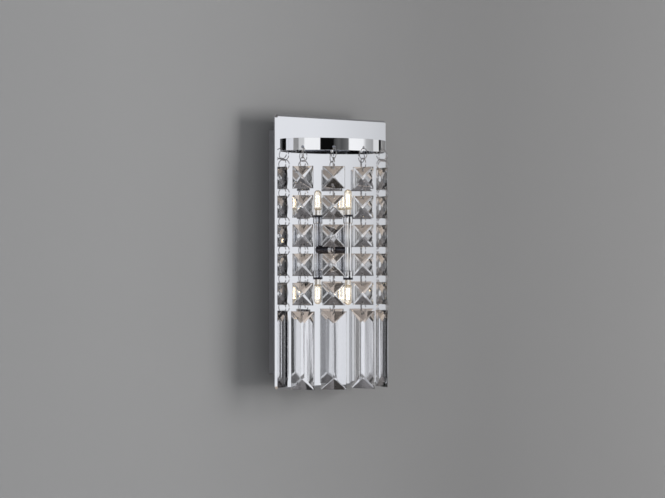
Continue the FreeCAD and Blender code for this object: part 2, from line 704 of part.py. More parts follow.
# ---------------------------------------------------------------- electrical parts in the box
def make_transformer():
    """The lamp transformer's case, long edges rounded, on the box panel."""
    body = doc.addObject("PartDesign::Body", "transformer_body")
    outline = new_sketch(body, "transformer_outline", "XY_Plane", TRANSFORMER_LOW)
    left = TRANSFORMER_LEFT
    right = f"({left} + Sizes.transformer_width)"
    front = "(Sizes.plate_sheet + Sizes.box_sheet - Sizes.plate_standoff)"
    back = f"({front} + Sizes.transformer_depth)"
    polygon(outline, [(left, front), (right, front), (right, back), (left, back)])
    pad = feature(body, "Pad", "transformer_pad", outline, "Sizes.transformer_height")
    rounded(body, "transformer_edges", pad, edges_along(pad.Shape, AXIS_Z), "Sizes.transformer_edge_radius")
    return node(body, "transformer")


def make_terminal_block():
    """A three-way block with a bore for each wire and a screw hole over each."""
    corner = Vector(terminal_x - size.terminal_width / 2, panel_inner_y, terminal_low)
    blank = block("terminal_blank", "Sizes.terminal_width", "Sizes.terminal_depth", "Sizes.terminal_height",
                  corner)
    middle_y = panel_inner_y + size.terminal_depth / 2
    holes = []
    for way in (-1, 0, 1):
        x = terminal_x + way * size.terminal_pitch
        holes.append(rod(f"terminal_bore_{way}", "Sizes.terminal_bore_radius",
                         "Sizes.terminal_height + 2 * Sizes.overrun",
                         Vector(x, middle_y, terminal_low - size.overrun)))
        holes.append(rod(f"terminal_screw_{way}", "Sizes.terminal_bore_radius",
                         "Sizes.terminal_depth / 2 + Sizes.overrun",
                         Vector(x, middle_y, terminal_low + size.terminal_screw_rise), AXIS_Y))
    return node(cut("terminal", blank, holes), "terminal_block")


def lead(name, points, rooms):
    """A round wire of straight runs and tangent arcs, each as large as its runs and its room allow."""
    points = [Vector(*point) for point in points]
    edges = []
    start = points[0]
    for before, corner, after, room in zip(points, points[1:], points[2:], rooms):
        to_before = (before - corner).normalize()
        to_after = (after - corner).normalize()
        half_turn = (math.pi - to_before.getAngle(to_after)) / 2
        back_off = min(room, 0.45 * min((before - corner).Length, (after - corner).Length))
        radius = back_off / math.tan(half_turn)
        enter = corner + to_before * back_off
        leave = corner + to_after * back_off
        inwards = (to_before + to_after).normalize()
        nearest = corner + inwards * (radius / math.cos(half_turn) - radius)
        edges.append(Part.LineSegment(start, enter).toShape())
        edges.append(Part.Arc(enter, nearest, leave).toShape())
        start = leave
    edges.append(Part.LineSegment(start, points[-1]).toShape())
    path = Part.Wire(edges)
    first = (points[1] - points[0]).normalize()
    ring = Part.Wire([Part.Circle(points[0], first, size.lead_radius).toShape()])
    made = doc.addObject("Part::Feature", name)
    made.Shape = path.makePipeShell([ring], True, False)
    return made


def make_inner_leads():
    """Supply leads from the terminals to the transformer, and lamp leads up the arm to both lampholders."""
    pieces = []
    transformer_top = transformer_low + size.transformer_height
    lead_y = panel_inner_y + size.terminal_depth / 2
    rear_y = panel_inner_y + size.arm_thread_length
    for number, way in enumerate((-1, 0)):
        x = terminal_x + way * size.terminal_pitch
        target_x = transformer_x + (1 - number) * 2 * size.lead_spacing
        low = transformer_low - size.lead_loop - number * size.lead_spacing
        pieces.append(lead(f"supply_lead_{number}", [
            (x, lead_y, terminal_low + size.lead_spacing), (x, lead_y, low), (target_x, lead_y, low),
            (target_x, lead_y, transformer_low),
        ], [size.terminal_height, size.terminal_height]))
    offset = size.lead_radius + size.free_clearance
    tube_room = size.tube_radius - size.tube_wall - size.lead_radius
    loop_y = rear_y + size.lead_loop
    for side in (-1, 1):
        x = transformer_x + side * size.lead_spacing
        level = size.arm_height + side * offset
        turn_z = level + 2 * size.lead_loop + side * size.lead_spacing
        end = size.lamp_middle + side * tube_half_length
        pieces.append(lead(f"lamp_lead_{side}", [
            (x, lead_y, transformer_top), (x, lead_y, turn_z), (0, loop_y, turn_z), (0, loop_y, level),
            (0, lamp_y, level), (0, lamp_y, end),
        ], [2 * size.lead_loop, size.lead_loop, size.lead_loop, tube_room]))
    return node(group("lead_set", pieces), "inner_leads")


# ---------------------------------------------------------------- strands
hole_to_middle = size.crystal_side / 2 - size.crystal_hole_inset
seat_drop = size.hole_seat
top_link_seat = size.band_hole_radius - size.link_wire_radius - 2 * size.link_gap
top_link_z = band_hole_z - top_link_seat - size.link_radius
second_link_z = top_link_z - 2 * size.link_radius + 2 * size.link_wire_radius + size.link_gap
crystal_pitch = 2 * (hole_to_middle + size.link_radius + seat_drop)
first_crystal_z = second_link_z - crystal_pitch / 2


def crystal_z(number):
    return first_crystal_z - (number - 1) * crystal_pitch


def link_below(number):
    """Height of the link that joins a crystal to what hangs below it."""
    return crystal_z(number) - crystal_pitch / 2


def link(name, strand, z, twist=0.0):
    """A round wire link standing square to the crystals, or twisted from there about the plumb line."""
    upright = strand.place(z, twist).multiply(Placement(Vector(), Rotation(AXIS_Z, AXIS_X)))
    sizes = {"Radius1": "Sizes.link_radius", "Radius2": "Sizes.link_wire_radius"}
    return primitive("Torus", name, sizes, upright)


def make_links(strand):
    """The upper links, from the band down to the strand's joint, and the lower ones, down to the prism."""
    name = f"strand_{strand.number}"
    # the top link runs through the band's hole, so it never stands along the band
    away = strand.band_turn - strand.facing
    top_twist = math.copysign(max(size.top_link_twist_deg, abs(away)), away)
    upper = [
        link(name + "_top_link", strand, top_link_z, top_twist),
        link(name + "_second_link", strand, second_link_z),
    ]
    lower = []
    for number in range(1, CRYSTALS_PER_STRAND + 1):
        made = link(f"{name}_link_{number}", strand, link_below(number))
        (upper if number <= CRYSTALS_ABOVE_JOINT else lower).append(made)
    node(group(name + "_upper_set", upper), name + "_upper_links")
    node(group(name + "_lower_set", lower), name + "_lower_links")


def make_crystal(strand, number):
    """A square crystal: a thin girdle with a four-sided pyramid on its front and on its back."""
    name = f"strand_{strand.number}_crystal_{number}"
    place = strand.place(crystal_z(number))
    corner = Vector(-size.crystal_side / 2, -size.crystal_girdle / 2, -size.crystal_side / 2)
    girdle = primitive("Box", name + "_girdle", {
        "Length": "Sizes.crystal_side", "Width": "Sizes.crystal_girdle", "Height": "Sizes.crystal_side",
    }, place.multiply(Placement(corner, Rotation())))
    half = "Sizes.crystal_side / 2"
    pyramids = []
    for side, turn in (("back", 0.0), ("front", 180.0)):
        pyramids.append(primitive("Wedge", f"{name}_{side}", {
            "Xmin": "-" + half, "Xmax": half, "Zmin": "-" + half, "Zmax": half,
            "Ymin": "Sizes.crystal_girdle / 2", "Ymax": "Sizes.crystal_depth / 2",
            "X2min": "0", "X2max": "0", "Z2min": "0", "Z2max": "0",
        }, strand.place(crystal_z(number), turn)))
    holes = []
    for end in (-1, 1):
        holes.append(through_hole(f"{name}_hole_{end}", place, "Sizes.crystal_hole_radius",
                                  end * hole_to_middle))
    node(cut(name + "_bored", fuse(name + "_cut_glass", [girdle] + pyramids), holes), name)


def through_hole(name, place, radius, z):
    """A hole from front to back, at a height in a hanging piece's own frame."""
    reach = size.prism_depth
    own = place.multiply(Placement(Vector(0, reach, z), Rotation(AXIS_Z, -AXIS_Y)))
    return primitive("Cylinder", name, {"Radius": radius, "Height": "2 * Sizes.prism_depth"}, own)


prism_hole_z = link_below(CRYSTALS_PER_STRAND) - size.link_radius - seat_drop
prism_top = prism_hole_z + size.prism_hole_inset


def make_prism(strand):
    """A long prism, ridged front and back, its ends bevelled to thin edges, with a hole near the top."""
    name = f"strand_{strand.number}_prism"
    body = doc.addObject("PartDesign::Body", name + "_body")
    section = new_sketch(body, name + "_section", "XY_Plane", "-Sizes.prism_length")
    half, ridge, side = "Sizes.prism_width / 2", "Sizes.prism_depth / 2", "Sizes.prism_side_edge / 2"
    polygon(section, [
        (half, "-" + side), (half, side), ("0", ridge), ("-" + half, side), ("-" + half, "-" + side),
        ("0", "-" + ridge),
    ])
    pad = feature(body, "Pad", name + "_pad", section, "Sizes.prism_length")
    edge, bevel, length = "Sizes.prism_end_edge / 2", "Sizes.prism_bevel", "Sizes.prism_length"
    tops = (f"-{bevel}", bevel)
    bottoms = (f"-{length} + {bevel}", f"-{length} - {bevel}")
    last = pad
    for end, (root, beyond) in (("top", tops), ("bottom", bottoms)):
        for face, sign in (("front", "-"), ("back", "")):
            drawn = new_sketch(body, f"{name}_{end}_{face}", "YZ_Plane", "0")
            outer = f"{sign}({ridge} + {edge})"
            tip = f"{sign}(2 * {edge} - {ridge})"
            polygon(drawn, [(tip, beyond), (f"{sign}({ridge})", root), (outer, root), (outer, beyond)])
            made = feature(body, "Pocket", f"{name}_{end}_{face}_bevel", drawn, through=True, middle=True)
            check_smaller(last, made, made.Name)
            last = made
    hole = new_sketch(body, name + "_hole", "XZ_Plane", "0")
    circle(hole, "Sizes.prism_hole_radius", "0", "-Sizes.prism_hole_inset")
    bored = feature(body, "Pocket", name + "_bored", hole, through=True, middle=True)
    check_smaller(last, bored, bored.Name)
    body.Placement = strand.place(prism_top)
    return node(body, name)


# ---------------------------------------------------------------- build, check and export
make_wall_bracket()
make_cable_grommet()
make_side_screws()
make_back_box()
make_backplate()
make_crown_band()
make_band_screws()
make_lamp_arm()
make_arm_nut()
make_arm_collar()
make_lamp_tube()
make_lamp_cups()
make_lampholders()
make_bulb(1, "upper_bulb")
make_bulb(-1, "lower_bulb")
make_transformer()
make_terminal_block()
make_inner_leads()
for strand in STRANDS:
    make_links(strand)
    for number in range(1, CRYSTALS_PER_STRAND + 1):
        make_crystal(strand, number)
    make_prism(strand)
doc.recompute()

for item in doc.Objects:
    if "Invalid" in item.State or "Error" in item.State:
        raise RuntimeError(f"{item.Label} failed: {item.State}")
for item in nodes:
    if item.Shape.isNull() or not item.Shape.isValid() or not item.Shape.Solids:
        raise RuntimeError(f"{item.Label} has no valid shape")

os.makedirs("parts", exist_ok=True)
for item in nodes:
    item.Shape.exportStep(f"parts/{item.Label}.step")
    print(f"{item.Label}: {len(item.Shape.Solids)} solid(s), {item.Shape.Volume:.1f} mm3")
print(f"{len(nodes)} nodes")
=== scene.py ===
# %% [markdown]
# A crystal wall light, dressed over its finished construction. The construction gives every piece that
# carries, fits or moves. This lesson gives those pieces their polished chrome, cut crystal and glowing
# lamps, and puts them in front of a grey studio wall. All lengths are metres.

# %% Load the construction
import json
import math

import bmesh
import bpy
from mathutils import Matrix, Vector


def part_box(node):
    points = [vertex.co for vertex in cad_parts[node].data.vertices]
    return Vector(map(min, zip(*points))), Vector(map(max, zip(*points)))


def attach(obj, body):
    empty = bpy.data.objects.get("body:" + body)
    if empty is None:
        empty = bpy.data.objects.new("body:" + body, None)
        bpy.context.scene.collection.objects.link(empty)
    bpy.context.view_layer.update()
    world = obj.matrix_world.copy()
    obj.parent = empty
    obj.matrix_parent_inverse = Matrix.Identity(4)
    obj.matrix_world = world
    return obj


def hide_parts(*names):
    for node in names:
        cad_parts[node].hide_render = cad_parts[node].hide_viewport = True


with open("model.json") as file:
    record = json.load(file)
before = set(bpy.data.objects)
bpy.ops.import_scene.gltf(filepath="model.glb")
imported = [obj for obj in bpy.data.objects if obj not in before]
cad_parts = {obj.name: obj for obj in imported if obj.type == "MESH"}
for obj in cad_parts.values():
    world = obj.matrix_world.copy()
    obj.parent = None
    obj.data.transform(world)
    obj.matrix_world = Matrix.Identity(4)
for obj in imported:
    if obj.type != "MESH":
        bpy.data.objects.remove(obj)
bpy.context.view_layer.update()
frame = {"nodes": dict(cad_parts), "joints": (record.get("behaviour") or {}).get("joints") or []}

MM = 0.001
QUARTER_TURN = math.radians(90)

# %% [markdown]
# The light hangs on a wall and is seen from its left, at its own height. The camera comes first, because
# every later choice is judged through it. Its lens is long, so the plate's sides stay nearly parallel. A
# small shift puts the horizon where it lies in the picture.

# %% Camera
PICTURE_WIDTH_PX = 665
PICTURE_HEIGHT_PX = 498
PLATE_CENTRE_PX = 332.8
HORIZON_PX = 250.4
FOCAL_LENGTH_PX = 2198.0
CAMERA_DISTANCE = 2.457
CAMERA_HEIGHT = 0.0017
VIEW_AZIMUTH = math.radians(-45)
SENSOR_WIDTH_MM = 36.0
FAR_CLIP = 50.0

plate_low, plate_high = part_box("backplate")
plate_front = plate_low.y


def make_camera():
    lens = bpy.data.cameras.new("view_camera")
    lens.sensor_width = SENSOR_WIDTH_MM
    lens.lens = FOCAL_LENGTH_PX / PICTURE_WIDTH_PX * SENSOR_WIDTH_MM
    lens.shift_x = (PICTURE_WIDTH_PX / 2 - PLATE_CENTRE_PX) / PICTURE_WIDTH_PX
    lens.shift_y = (HORIZON_PX - PICTURE_HEIGHT_PX / 2) / PICTURE_WIDTH_PX
    lens.clip_end = FAR_CLIP
    camera = bpy.data.objects.new("view_camera", lens)
    bpy.context.scene.collection.objects.link(camera)
    back = Vector((math.sin(VIEW_AZIMUTH), -math.cos(VIEW_AZIMUTH), 0.0))
    camera.location = Vector((0.0, plate_front, CAMERA_HEIGHT)) + back * CAMERA_DISTANCE
    camera.rotation_euler = (QUARTER_TURN, 0.0, VIEW_AZIMUTH)
    bpy.context.scene.camera = camera
    return camera


camera = make_camera()
print("camera at", tuple(round(c, 3) for c in camera.location))

# %% [markdown]
# Shader maths reads best as ordinary arithmetic. A Wire holds one output socket, and adding or
# multiplying it adds the Math node that does so. A Finish is a material under construction: its node
# method makes any other node from a type, settings and inputs.

# %% Shader arithmetic
FIRST_COLOUR, SECOND_COLOUR, MIXED_COLOUR = 6, 7, 2


class Wire:
    """One output of a node tree, which arithmetic extends with Math nodes."""

    def __init__(self, tree, socket):
        self.tree = tree
        self.socket = socket

    def math(self, operation, *values):
        return self.tree.node("ShaderNodeMath", {"operation": operation}, dict(enumerate(values)))

    def __add__(self, other):
        return self.math("ADD", self, other)

    def __radd__(self, other):
        return self.math("ADD", other, self)

    def __sub__(self, other):
        return self.math("SUBTRACT", self, other)

    def __rsub__(self, other):
        return self.math("SUBTRACT", other, self)

    def __mul__(self, other):
        return self.math("MULTIPLY", self, other)

    def __rmul__(self, other):
        return self.math("MULTIPLY", other, self)

    def __truediv__(self, other):
        return self.math("DIVIDE", self, other)

    def within(self, low, high, low_value=0.0, high_value=1.0):
        """This value, spread from one range to another and held inside it."""
        settings = {"interpolation_type": "SMOOTHSTEP"}
        return self.tree.node("ShaderNodeMapRange", settings, dict(enumerate(
            (self, low, high, low_value, high_value))))


class NodeTree:
    """A node tree that grows by one call per node."""

    def __init__(self, tree):
        self.tree = tree
        tree.nodes.clear()

    def node(self, kind, settings=None, inputs=None, output=0):
        made = self.tree.nodes.new(kind)
        for name, value in (settings or {}).items():
            if name == "stops":
                self.set_stops(made.color_ramp, value)
            else:
                setattr(made, name, value)
        for key, value in (inputs or {}).items():
            socket = made.inputs[key]
            if isinstance(value, Wire):
                self.tree.links.new(value.socket, socket)
            else:
                socket.default_value = value
        return Wire(self, made.outputs[output]) if made.outputs else made

    @staticmethod
    def set_stops(ramp, stops):
        while len(ramp.elements) < len(stops):
            ramp.elements.new(1.0)
        for element, (position, colour) in zip(ramp.elements, stops):
            element.position = position
            element.color = (*colour, 1.0)

    def place(self, scale=(1.0, 1.0, 1.0)):
        """Object coordinates, stretched by a scale, for patterns that stay on the piece."""
        coordinates = self.node("ShaderNodeTexCoord", output="Object")
        return self.node("ShaderNodeMapping", {}, {"Vector": coordinates, "Scale": scale})

    def noise(self, scale, detail=3.0, stretch=(1.0, 1.0, 1.0)):
        """Cloudy grain, drawn out along an axis where its stretch is small."""
        return self.node("ShaderNodeTexNoise", {}, {
            "Vector": self.place(stretch), "Scale": scale, "Detail": detail,
        })

    def blend(self, factor, first, second):
        """Two colours mixed by a factor."""
        return self.node("ShaderNodeMix", {"data_type": "RGBA"}, {
            "Factor": factor, FIRST_COLOUR: (*first, 1.0), SECOND_COLOUR: (*second, 1.0),
        }, output=MIXED_COLOUR)

    def bump(self, height, strength, distance):
        return self.node("ShaderNodeBump", {}, {
            "Height": height, "Strength": strength, "Distance": distance,
        })


FINISHES = {}


def material_of(name, build):
    """A material whose build returns the wire that goes to its surface."""
    material = bpy.data.materials.new(name)
    material.use_nodes = True
    tree = NodeTree(material.node_tree)
    tree.node("ShaderNodeOutputMaterial", {}, {"Surface": build(tree)})
    return material


def finish(name, slot_name, build):
    """Keeps a finish under its name; build returns the Principled shader's inputs."""
    material = material_of(name, lambda t: t.node("ShaderNodeBsdfPrincipled", {}, build(t)))
    FINISHES[name] = (material, slot_name)


print("shader arithmetic ready")

# %% [markdown]
# The plate is a mirror with very slight unevenness, as pressed and plated sheet has. The band, tube and
# cups are bright chrome. Polished metal shows as what it reflects, so its colour is almost white, and the
# interest comes from a roughness that wipe marks vary and from a bump far below a tenth of a millimetre.

# %% Chrome finishes
def mirror_chrome(t):
    wipes = t.noise(14.0, 4.0, (1.0, 1.0, 0.35))
    sheet = t.noise(9.0, 1.0)
    return {
        "Base Color": t.blend(wipes, (0.73, 0.74, 0.775), (0.79, 0.80, 0.825)),
        "Metallic": 1.0,
        "Roughness": wipes.within(0.35, 0.75, 0.030, 0.065),
        "Normal": t.bump(sheet, 0.05, 0.0005),
    }


def bright_chrome(t):
    wipes = t.noise(60.0, 4.0)
    return {
        "Base Color": t.blend(wipes, (0.86, 0.865, 0.88), (0.92, 0.922, 0.93)),
        "Metallic": 1.0,
        "Roughness": wipes.within(0.3, 0.8, 0.02, 0.07),
        "Normal": t.bump(t.noise(160.0, 2.0), 0.02, 0.0002),
    }


def spring_wire(t):
    drawn = t.noise(900.0, 2.0, (1.0, 1.0, 0.3))
    return {
        "Base Color": t.blend(drawn, (0.55, 0.55, 0.57), (0.78, 0.78, 0.80)),
        "Metallic": 1.0,
        "Roughness": drawn.within(0.2, 0.8, 0.10, 0.24),
        "Normal": t.bump(drawn, 0.1, 0.0001),
    }


def dark_nickel(t):
    wipes = t.noise(120.0, 3.0)
    return {
        "Base Color": t.blend(wipes, (0.06, 0.058, 0.066), (0.10, 0.10, 0.115)),
        "Metallic": 1.0,
        "Roughness": wipes.within(0.3, 0.8, 0.12, 0.26),
        "Normal": t.bump(wipes, 0.05, 0.0002),
    }


def zinc_plate(t):
    spangle = t.node("ShaderNodeTexVoronoi", {}, {"Vector": t.place(), "Scale": 420.0}, output="Color")
    grey = t.node("ShaderNodeRGBToBW", {}, {"Color": spangle})
    return {
        "Base Color": t.blend(grey, (0.52, 0.53, 0.55), (0.70, 0.71, 0.73)),
        "Metallic": 1.0,
        "Roughness": grey.within(0.1, 0.9, 0.26, 0.42),
        "Normal": t.bump(t.noise(800.0, 2.0), 0.12, 0.0002),
    }


def silver_paint(t):
    peel = t.noise(700.0, 2.0)
    return {
        "Base Color": t.blend(t.noise(30.0, 3.0), (0.36, 0.36, 0.38), (0.44, 0.44, 0.46)),
        "Metallic": 0.55,
        "Roughness": peel.within(0.2, 0.8, 0.36, 0.50),
        "Normal": t.bump(peel, 0.15, 0.0002),
    }


finish("mirror_plate_chrome", "mirror_chrome", mirror_chrome)
finish("band_and_tube_chrome", "bright_chrome", bright_chrome)
finish("link_spring_wire", "link_wire", spring_wire)
finish("collar_dark_nickel", "black_nickel", dark_nickel)
finish("bracket_zinc_plate", "zinc_steel", zinc_plate)
finish("box_silver_paint", "silver_paint", silver_paint)
print("metal finishes:", ", ".join(FINISHES))

# %% [markdown]
# Cut crystal is plain glass of a high index, and its look is all refraction: each facet shows another part
# of the room. The polish is perfect on the facets, and a trace of grease and dust only scatters a little.
# The long prisms are moulded and then polished, which leaves faint ripples along their length. The bulbs
# are hazy quartz with a faint warm painted glow, standing in for the coil's glare, around a coil that glows
# far more.

# %% Glass finishes
def crystal_glass(t):
    film = t.noise(240.0, 3.0)
    return {
        "Base Color": t.blend(film, (0.985, 0.99, 1.0), (1.0, 0.995, 0.985)),
        "Roughness": film.within(0.55, 0.85, 0.0, 0.03),
        "IOR": 1.56,
        "Transmission Weight": 1.0,
    }


def prism_glass(t):
    ripple = t.noise(90.0, 2.0, (1.0, 1.0, 0.08))
    cloud = t.noise(40.0, 2.0, (1.0, 1.0, 0.4))
    return {
        "Base Color": t.blend(cloud, (0.98, 0.985, 1.0), (1.0, 0.99, 0.985)),
        "Roughness": ripple.within(0.6, 0.9, 0.0, 0.02),
        "IOR": 1.54,
        "Transmission Weight": 1.0,
        "Normal": t.bump(ripple, 0.12, 0.0006),
    }


def quartz_glass_and_painted_glow(t):
    haze_and_painted_glow = t.noise(300.0, 2.0)
    return {
        "Base Color": t.blend(haze_and_painted_glow, (1.0, 0.97, 0.92), (1.0, 0.99, 0.96)),
        "Roughness": haze_and_painted_glow.within(0.3, 0.8, 0.02, 0.12),
        "IOR": 1.46,
        "Transmission Weight": 1.0,
        # painted glow: the envelope's faint warm emission stands in for the coil's glare in the quartz
        "Emission Color": t.blend(haze_and_painted_glow, (1.0, 0.80, 0.52), (1.0, 0.86, 0.62)),
        "Emission Strength": 0.07,
    }


def hot_filament(t):
    return {
        "Base Color": (0.1, 0.08, 0.06, 1.0),
        "Roughness": 0.6,
        "Emission Color": t.blend(t.noise(900.0, 1.0), (1.0, 0.72, 0.40), (1.0, 0.84, 0.56)),
        "Emission Strength": 30.0,
    }


finish("cut_crystal", "crystal_glass", crystal_glass)
finish("polished_prism", "prism_glass", prism_glass)
finish("lamp_quartz_painted_glow", "bulb_glass", quartz_glass_and_painted_glow)
finish("glowing_filament", "pin_metal", hot_filament)
print("glass and filament finishes ready")

# %% [markdown]
# The hidden parts are plainer: unglazed ceramic, moulded plastic, rubber and silicone sleeving. They are
# seen from behind, so each still has its grain.

# %% Ceramic, plastic and rubber finishes
def grained(dark, light, scale, rough_low, rough_high, depth):
    """A dull surface whose fine grain varies colour, roughness and height together."""
    def build(t):
        grain = t.noise(scale, 4.0)
        return {
            "Base Color": t.blend(grain, dark, light),
            "Roughness": grain.within(0.2, 0.8, rough_low, rough_high),
            "Normal": t.bump(grain, depth, 0.0003),
        }
    return build


for name, slot_name, *grain in (
    ("lampholder_ceramic", "lamp_ceramic", (0.40, 0.33, 0.26), (0.62, 0.55, 0.46), 500.0, 0.45, 0.7, 0.2),
    ("transformer_case", "case_plastic", (0.78, 0.78, 0.77), (0.86, 0.86, 0.85), 650.0, 0.4, 0.6, 0.2),
    ("terminal_nylon", "block_plastic", (0.80, 0.79, 0.74), (0.90, 0.89, 0.85), 400.0, 0.3, 0.45, 0.1),
    ("grommet_rubber", "rubber_black", (0.025, 0.025, 0.027), (0.06, 0.06, 0.062), 700.0, 0.6, 0.8, 0.3),
    ("lead_sleeving", "lead_silicone", (0.62, 0.58, 0.50), (0.78, 0.74, 0.66), 300.0, 0.4, 0.6, 0.1),
):
    finish(name, slot_name, grained(*grain))
finish("contact_pin_steel", "pin_metal", zinc_plate)
print(len(FINISHES), "finishes in all")

# %% [markdown]
# New pieces are shaped as by hand: a primitive is added, faces are picked by where they lie, and they are
# extruded, bisected or spun. These few helpers hold the steps that every piece shares. Picking in code
# stands in for clicking, and each helper leaves Blender in object mode.

# %% Shaping helpers
UPRIGHT = (0, 0, 1)
INTO_THE_WALL = (0, 1, 0)
NEAR = MM / 10
MERGE_DISTANCE = 1e-6
CUT_THRESHOLD = 1e-7
FACES_THAT_WAY = 0.9  # a normal's share along an axis, from which a face counts as facing that way
FACES_ACROSS = 0.1  # and the share up to which it counts as facing across


def add(name, operator, **settings):
    """Adds a primitive while nothing else is selected, and names it."""
    bpy.ops.object.select_all(action="DESELECT")
    operator(**settings)
    piece = bpy.context.object
    piece.name = name
    piece.data.name = name
    return piece


def only(piece):
    """Selects one piece and makes it active."""
    bpy.ops.object.select_all(action="DESELECT")
    piece.select_set(True)
    bpy.context.view_layer.objects.active = piece


def settle(piece):
    """Moves a piece's place, turn and scale into its mesh."""
    only(piece)
    bpy.ops.object.transform_apply(location=True, rotation=True, scale=True)
    return piece


class Shaping:
    """Edit mode on one piece, where points, edges or faces are picked by a test."""

    def __init__(self, piece):
        self.piece = piece

    def __enter__(self):
        only(self.piece)
        bpy.ops.object.mode_set(mode="EDIT")
        return self

    def __exit__(self, *error):
        bpy.ops.object.mode_set(mode="OBJECT")

    def pick(self, kind, test):
        """Selects the elements of one kind whose middle and own data pass a test."""
        bpy.ops.mesh.select_mode(type=kind)
        bpy.ops.mesh.select_all(action="DESELECT")
        mesh = bmesh.from_edit_mesh(self.piece.data)
        elements = {"VERT": mesh.verts, "EDGE": mesh.edges, "FACE": mesh.faces}[kind]
        chosen = []
        for element in elements:
            points = [element.co] if kind == "VERT" else [v.co for v in element.verts]
            if test(sum(points, Vector()) / len(points), element):
                chosen.append(element)
        for element in chosen:
            element.select_set(True)
        mesh.select_flush_mode()
        bmesh.update_edit_mesh(self.piece.data)


def use(piece, kind, name, **settings):
    """Adds a modifier, sets it and applies it."""
    only(piece)
    modifier = piece.modifiers.new(name, kind)
    for key, value in settings.items():
        setattr(modifier, key, value)
    bpy.ops.object.modifier_apply(modifier=name)
    return piece


def carve(piece, tools):
    """Cuts tools out of a piece, and deletes them."""
    for tool in tools:
        use(piece, "BOOLEAN", "carve", operation="DIFFERENCE", object=tool, solver="EXACT")
        bpy.data.objects.remove(tool)
    return piece


def soften(piece, width, segments, angle):
    """Bevels the edges where faces meet at more than an angle in degrees."""
    return use(piece, "BEVEL", "soften", width=width, segments=segments, limit_method="ANGLE",
               angle_limit=math.radians(angle), use_clamp_overlap=True)


def smooth(piece, angle):
    """Shades edges below an angle in degrees smooth, and keeps the large faces flat."""
    only(piece)
    bpy.ops.object.shade_smooth_by_angle(angle=math.radians(angle))
    return use(piece, "WEIGHTED_NORMAL", "flat_faces", keep_sharp=True)


def pin(name, radius, length, middle, axis, corners=24):
    """A cylinder about a middle, along an axis, to cut with or to keep."""
    turn = Vector(UPRIGHT).rotation_difference(Vector(axis)).to_euler()
    return settle(add(name, bpy.ops.mesh.primitive_cylinder_add, vertices=corners, radius=radius,
                      depth=length, location=middle, rotation=turn))


def lathe(name, profile, steps):
    """A closed outline of (radius, height) corners, drawn point by point and spun about Z."""
    piece = add(name, bpy.ops.mesh.primitive_plane_add, size=MM)
    with Shaping(piece):
        bpy.ops.mesh.select_all(action="SELECT")
        bpy.ops.mesh.merge(type="CENTER")
        bpy.ops.mesh.select_mode(type="VERT")
        bpy.ops.mesh.select_all(action="SELECT")
        bpy.ops.transform.translate(value=(profile[0][0], 0, profile[0][1]))
        for (radius, height), (next_radius, next_height) in zip(profile, profile[1:]):
            step = (next_radius - radius, 0, next_height - height)
            bpy.ops.mesh.extrude_region_move(TRANSFORM_OT_translate={"value": step})
        bpy.ops.mesh.select_all(action="SELECT")
        bpy.ops.mesh.spin(steps=steps, angle=math.tau, center=(0, 0, 0), axis=UPRIGHT)
        bpy.ops.mesh.select_all(action="SELECT")
        bpy.ops.mesh.remove_doubles(threshold=MERGE_DISTANCE)
        bpy.ops.mesh.normals_make_consistent(inside=False)
    return piece


def copy_of(master, name, place):
    """A copy with its own mesh, put in place by a matrix."""
    piece = master.copy()
    piece.data = master.data.copy()
    piece.name = name
    piece.data.name = name
    piece.data.transform(place)
    bpy.context.scene.collection.objects.link(piece)
    return piece


def joined(name, parts):
    """Several parts made one piece."""
    bpy.ops.object.select_all(action="DESELECT")
    for part in parts:
        part.select_set(True)
    bpy.context.view_layer.objects.active = parts[0]
    bpy.ops.object.join()
    parts[0].name = name
    parts[0].data.name = name
    return parts[0]


def dress(piece, finish_name, body, *nodes):
    """Gives a piece its finish and its body, and hides the construction nodes that it stands for."""
    material, slot_name = FINISHES[finish_name]
    piece.data.materials.clear()
    piece.data.materials.append(material)
    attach(piece, body)
    if nodes:
        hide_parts(*nodes)
    return piece


print("shaping helpers ready")

# %% [markdown]
# The mirror plate is pressed from sheet: a shallow pan with round corners, whose front edge slopes back all
# round and catches its own light. A box is bevelled there, then its back is inset and pushed in, which
# leaves the turned rim. The holes for the arm and the two screws are cut last, so that they stay sharp.

# %% Mirror plate
CORNER_RADIUS = 3.5 * MM
CORNER_STEPS = 8
FRONT_CHAMFER = 2.0 * MM
PLATE_SHEET = 1.2 * MM
ARM_HOLE_RADIUS = 3.35 * MM
ARM_HOLE_CORNERS = 48
SCREW_HOLE_RADIUS = 1.55 * MM
PLATE_DRILL = 10 * MM
NUT_CIRCLE = 3.1 * MM
PLATE_SMOOTH = 30


def box_between(name, low, high):
    """A box from its lowest to its highest corner."""
    piece = add(name, bpy.ops.mesh.primitive_cube_add, size=1, location=(low + high) / 2)
    piece.scale = high - low
    return settle(piece)


arm_low, arm_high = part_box("lamp_arm")
arm_z = (arm_low.z + arm_high.z) / 2
screws_low, screws_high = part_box("band_screws")
band_screw_z = (screws_low.z + screws_high.z) / 2
band_screw_x = screws_high.x - NUT_CIRCLE


def screw_drills(length):
    """The cutters for the band's two screws, through the plate and the band's feet."""
    return [pin("screw_hole", SCREW_HOLE_RADIUS, length,
                (side * band_screw_x, plate_front, band_screw_z), INTO_THE_WALL) for side in (-1, 1)]


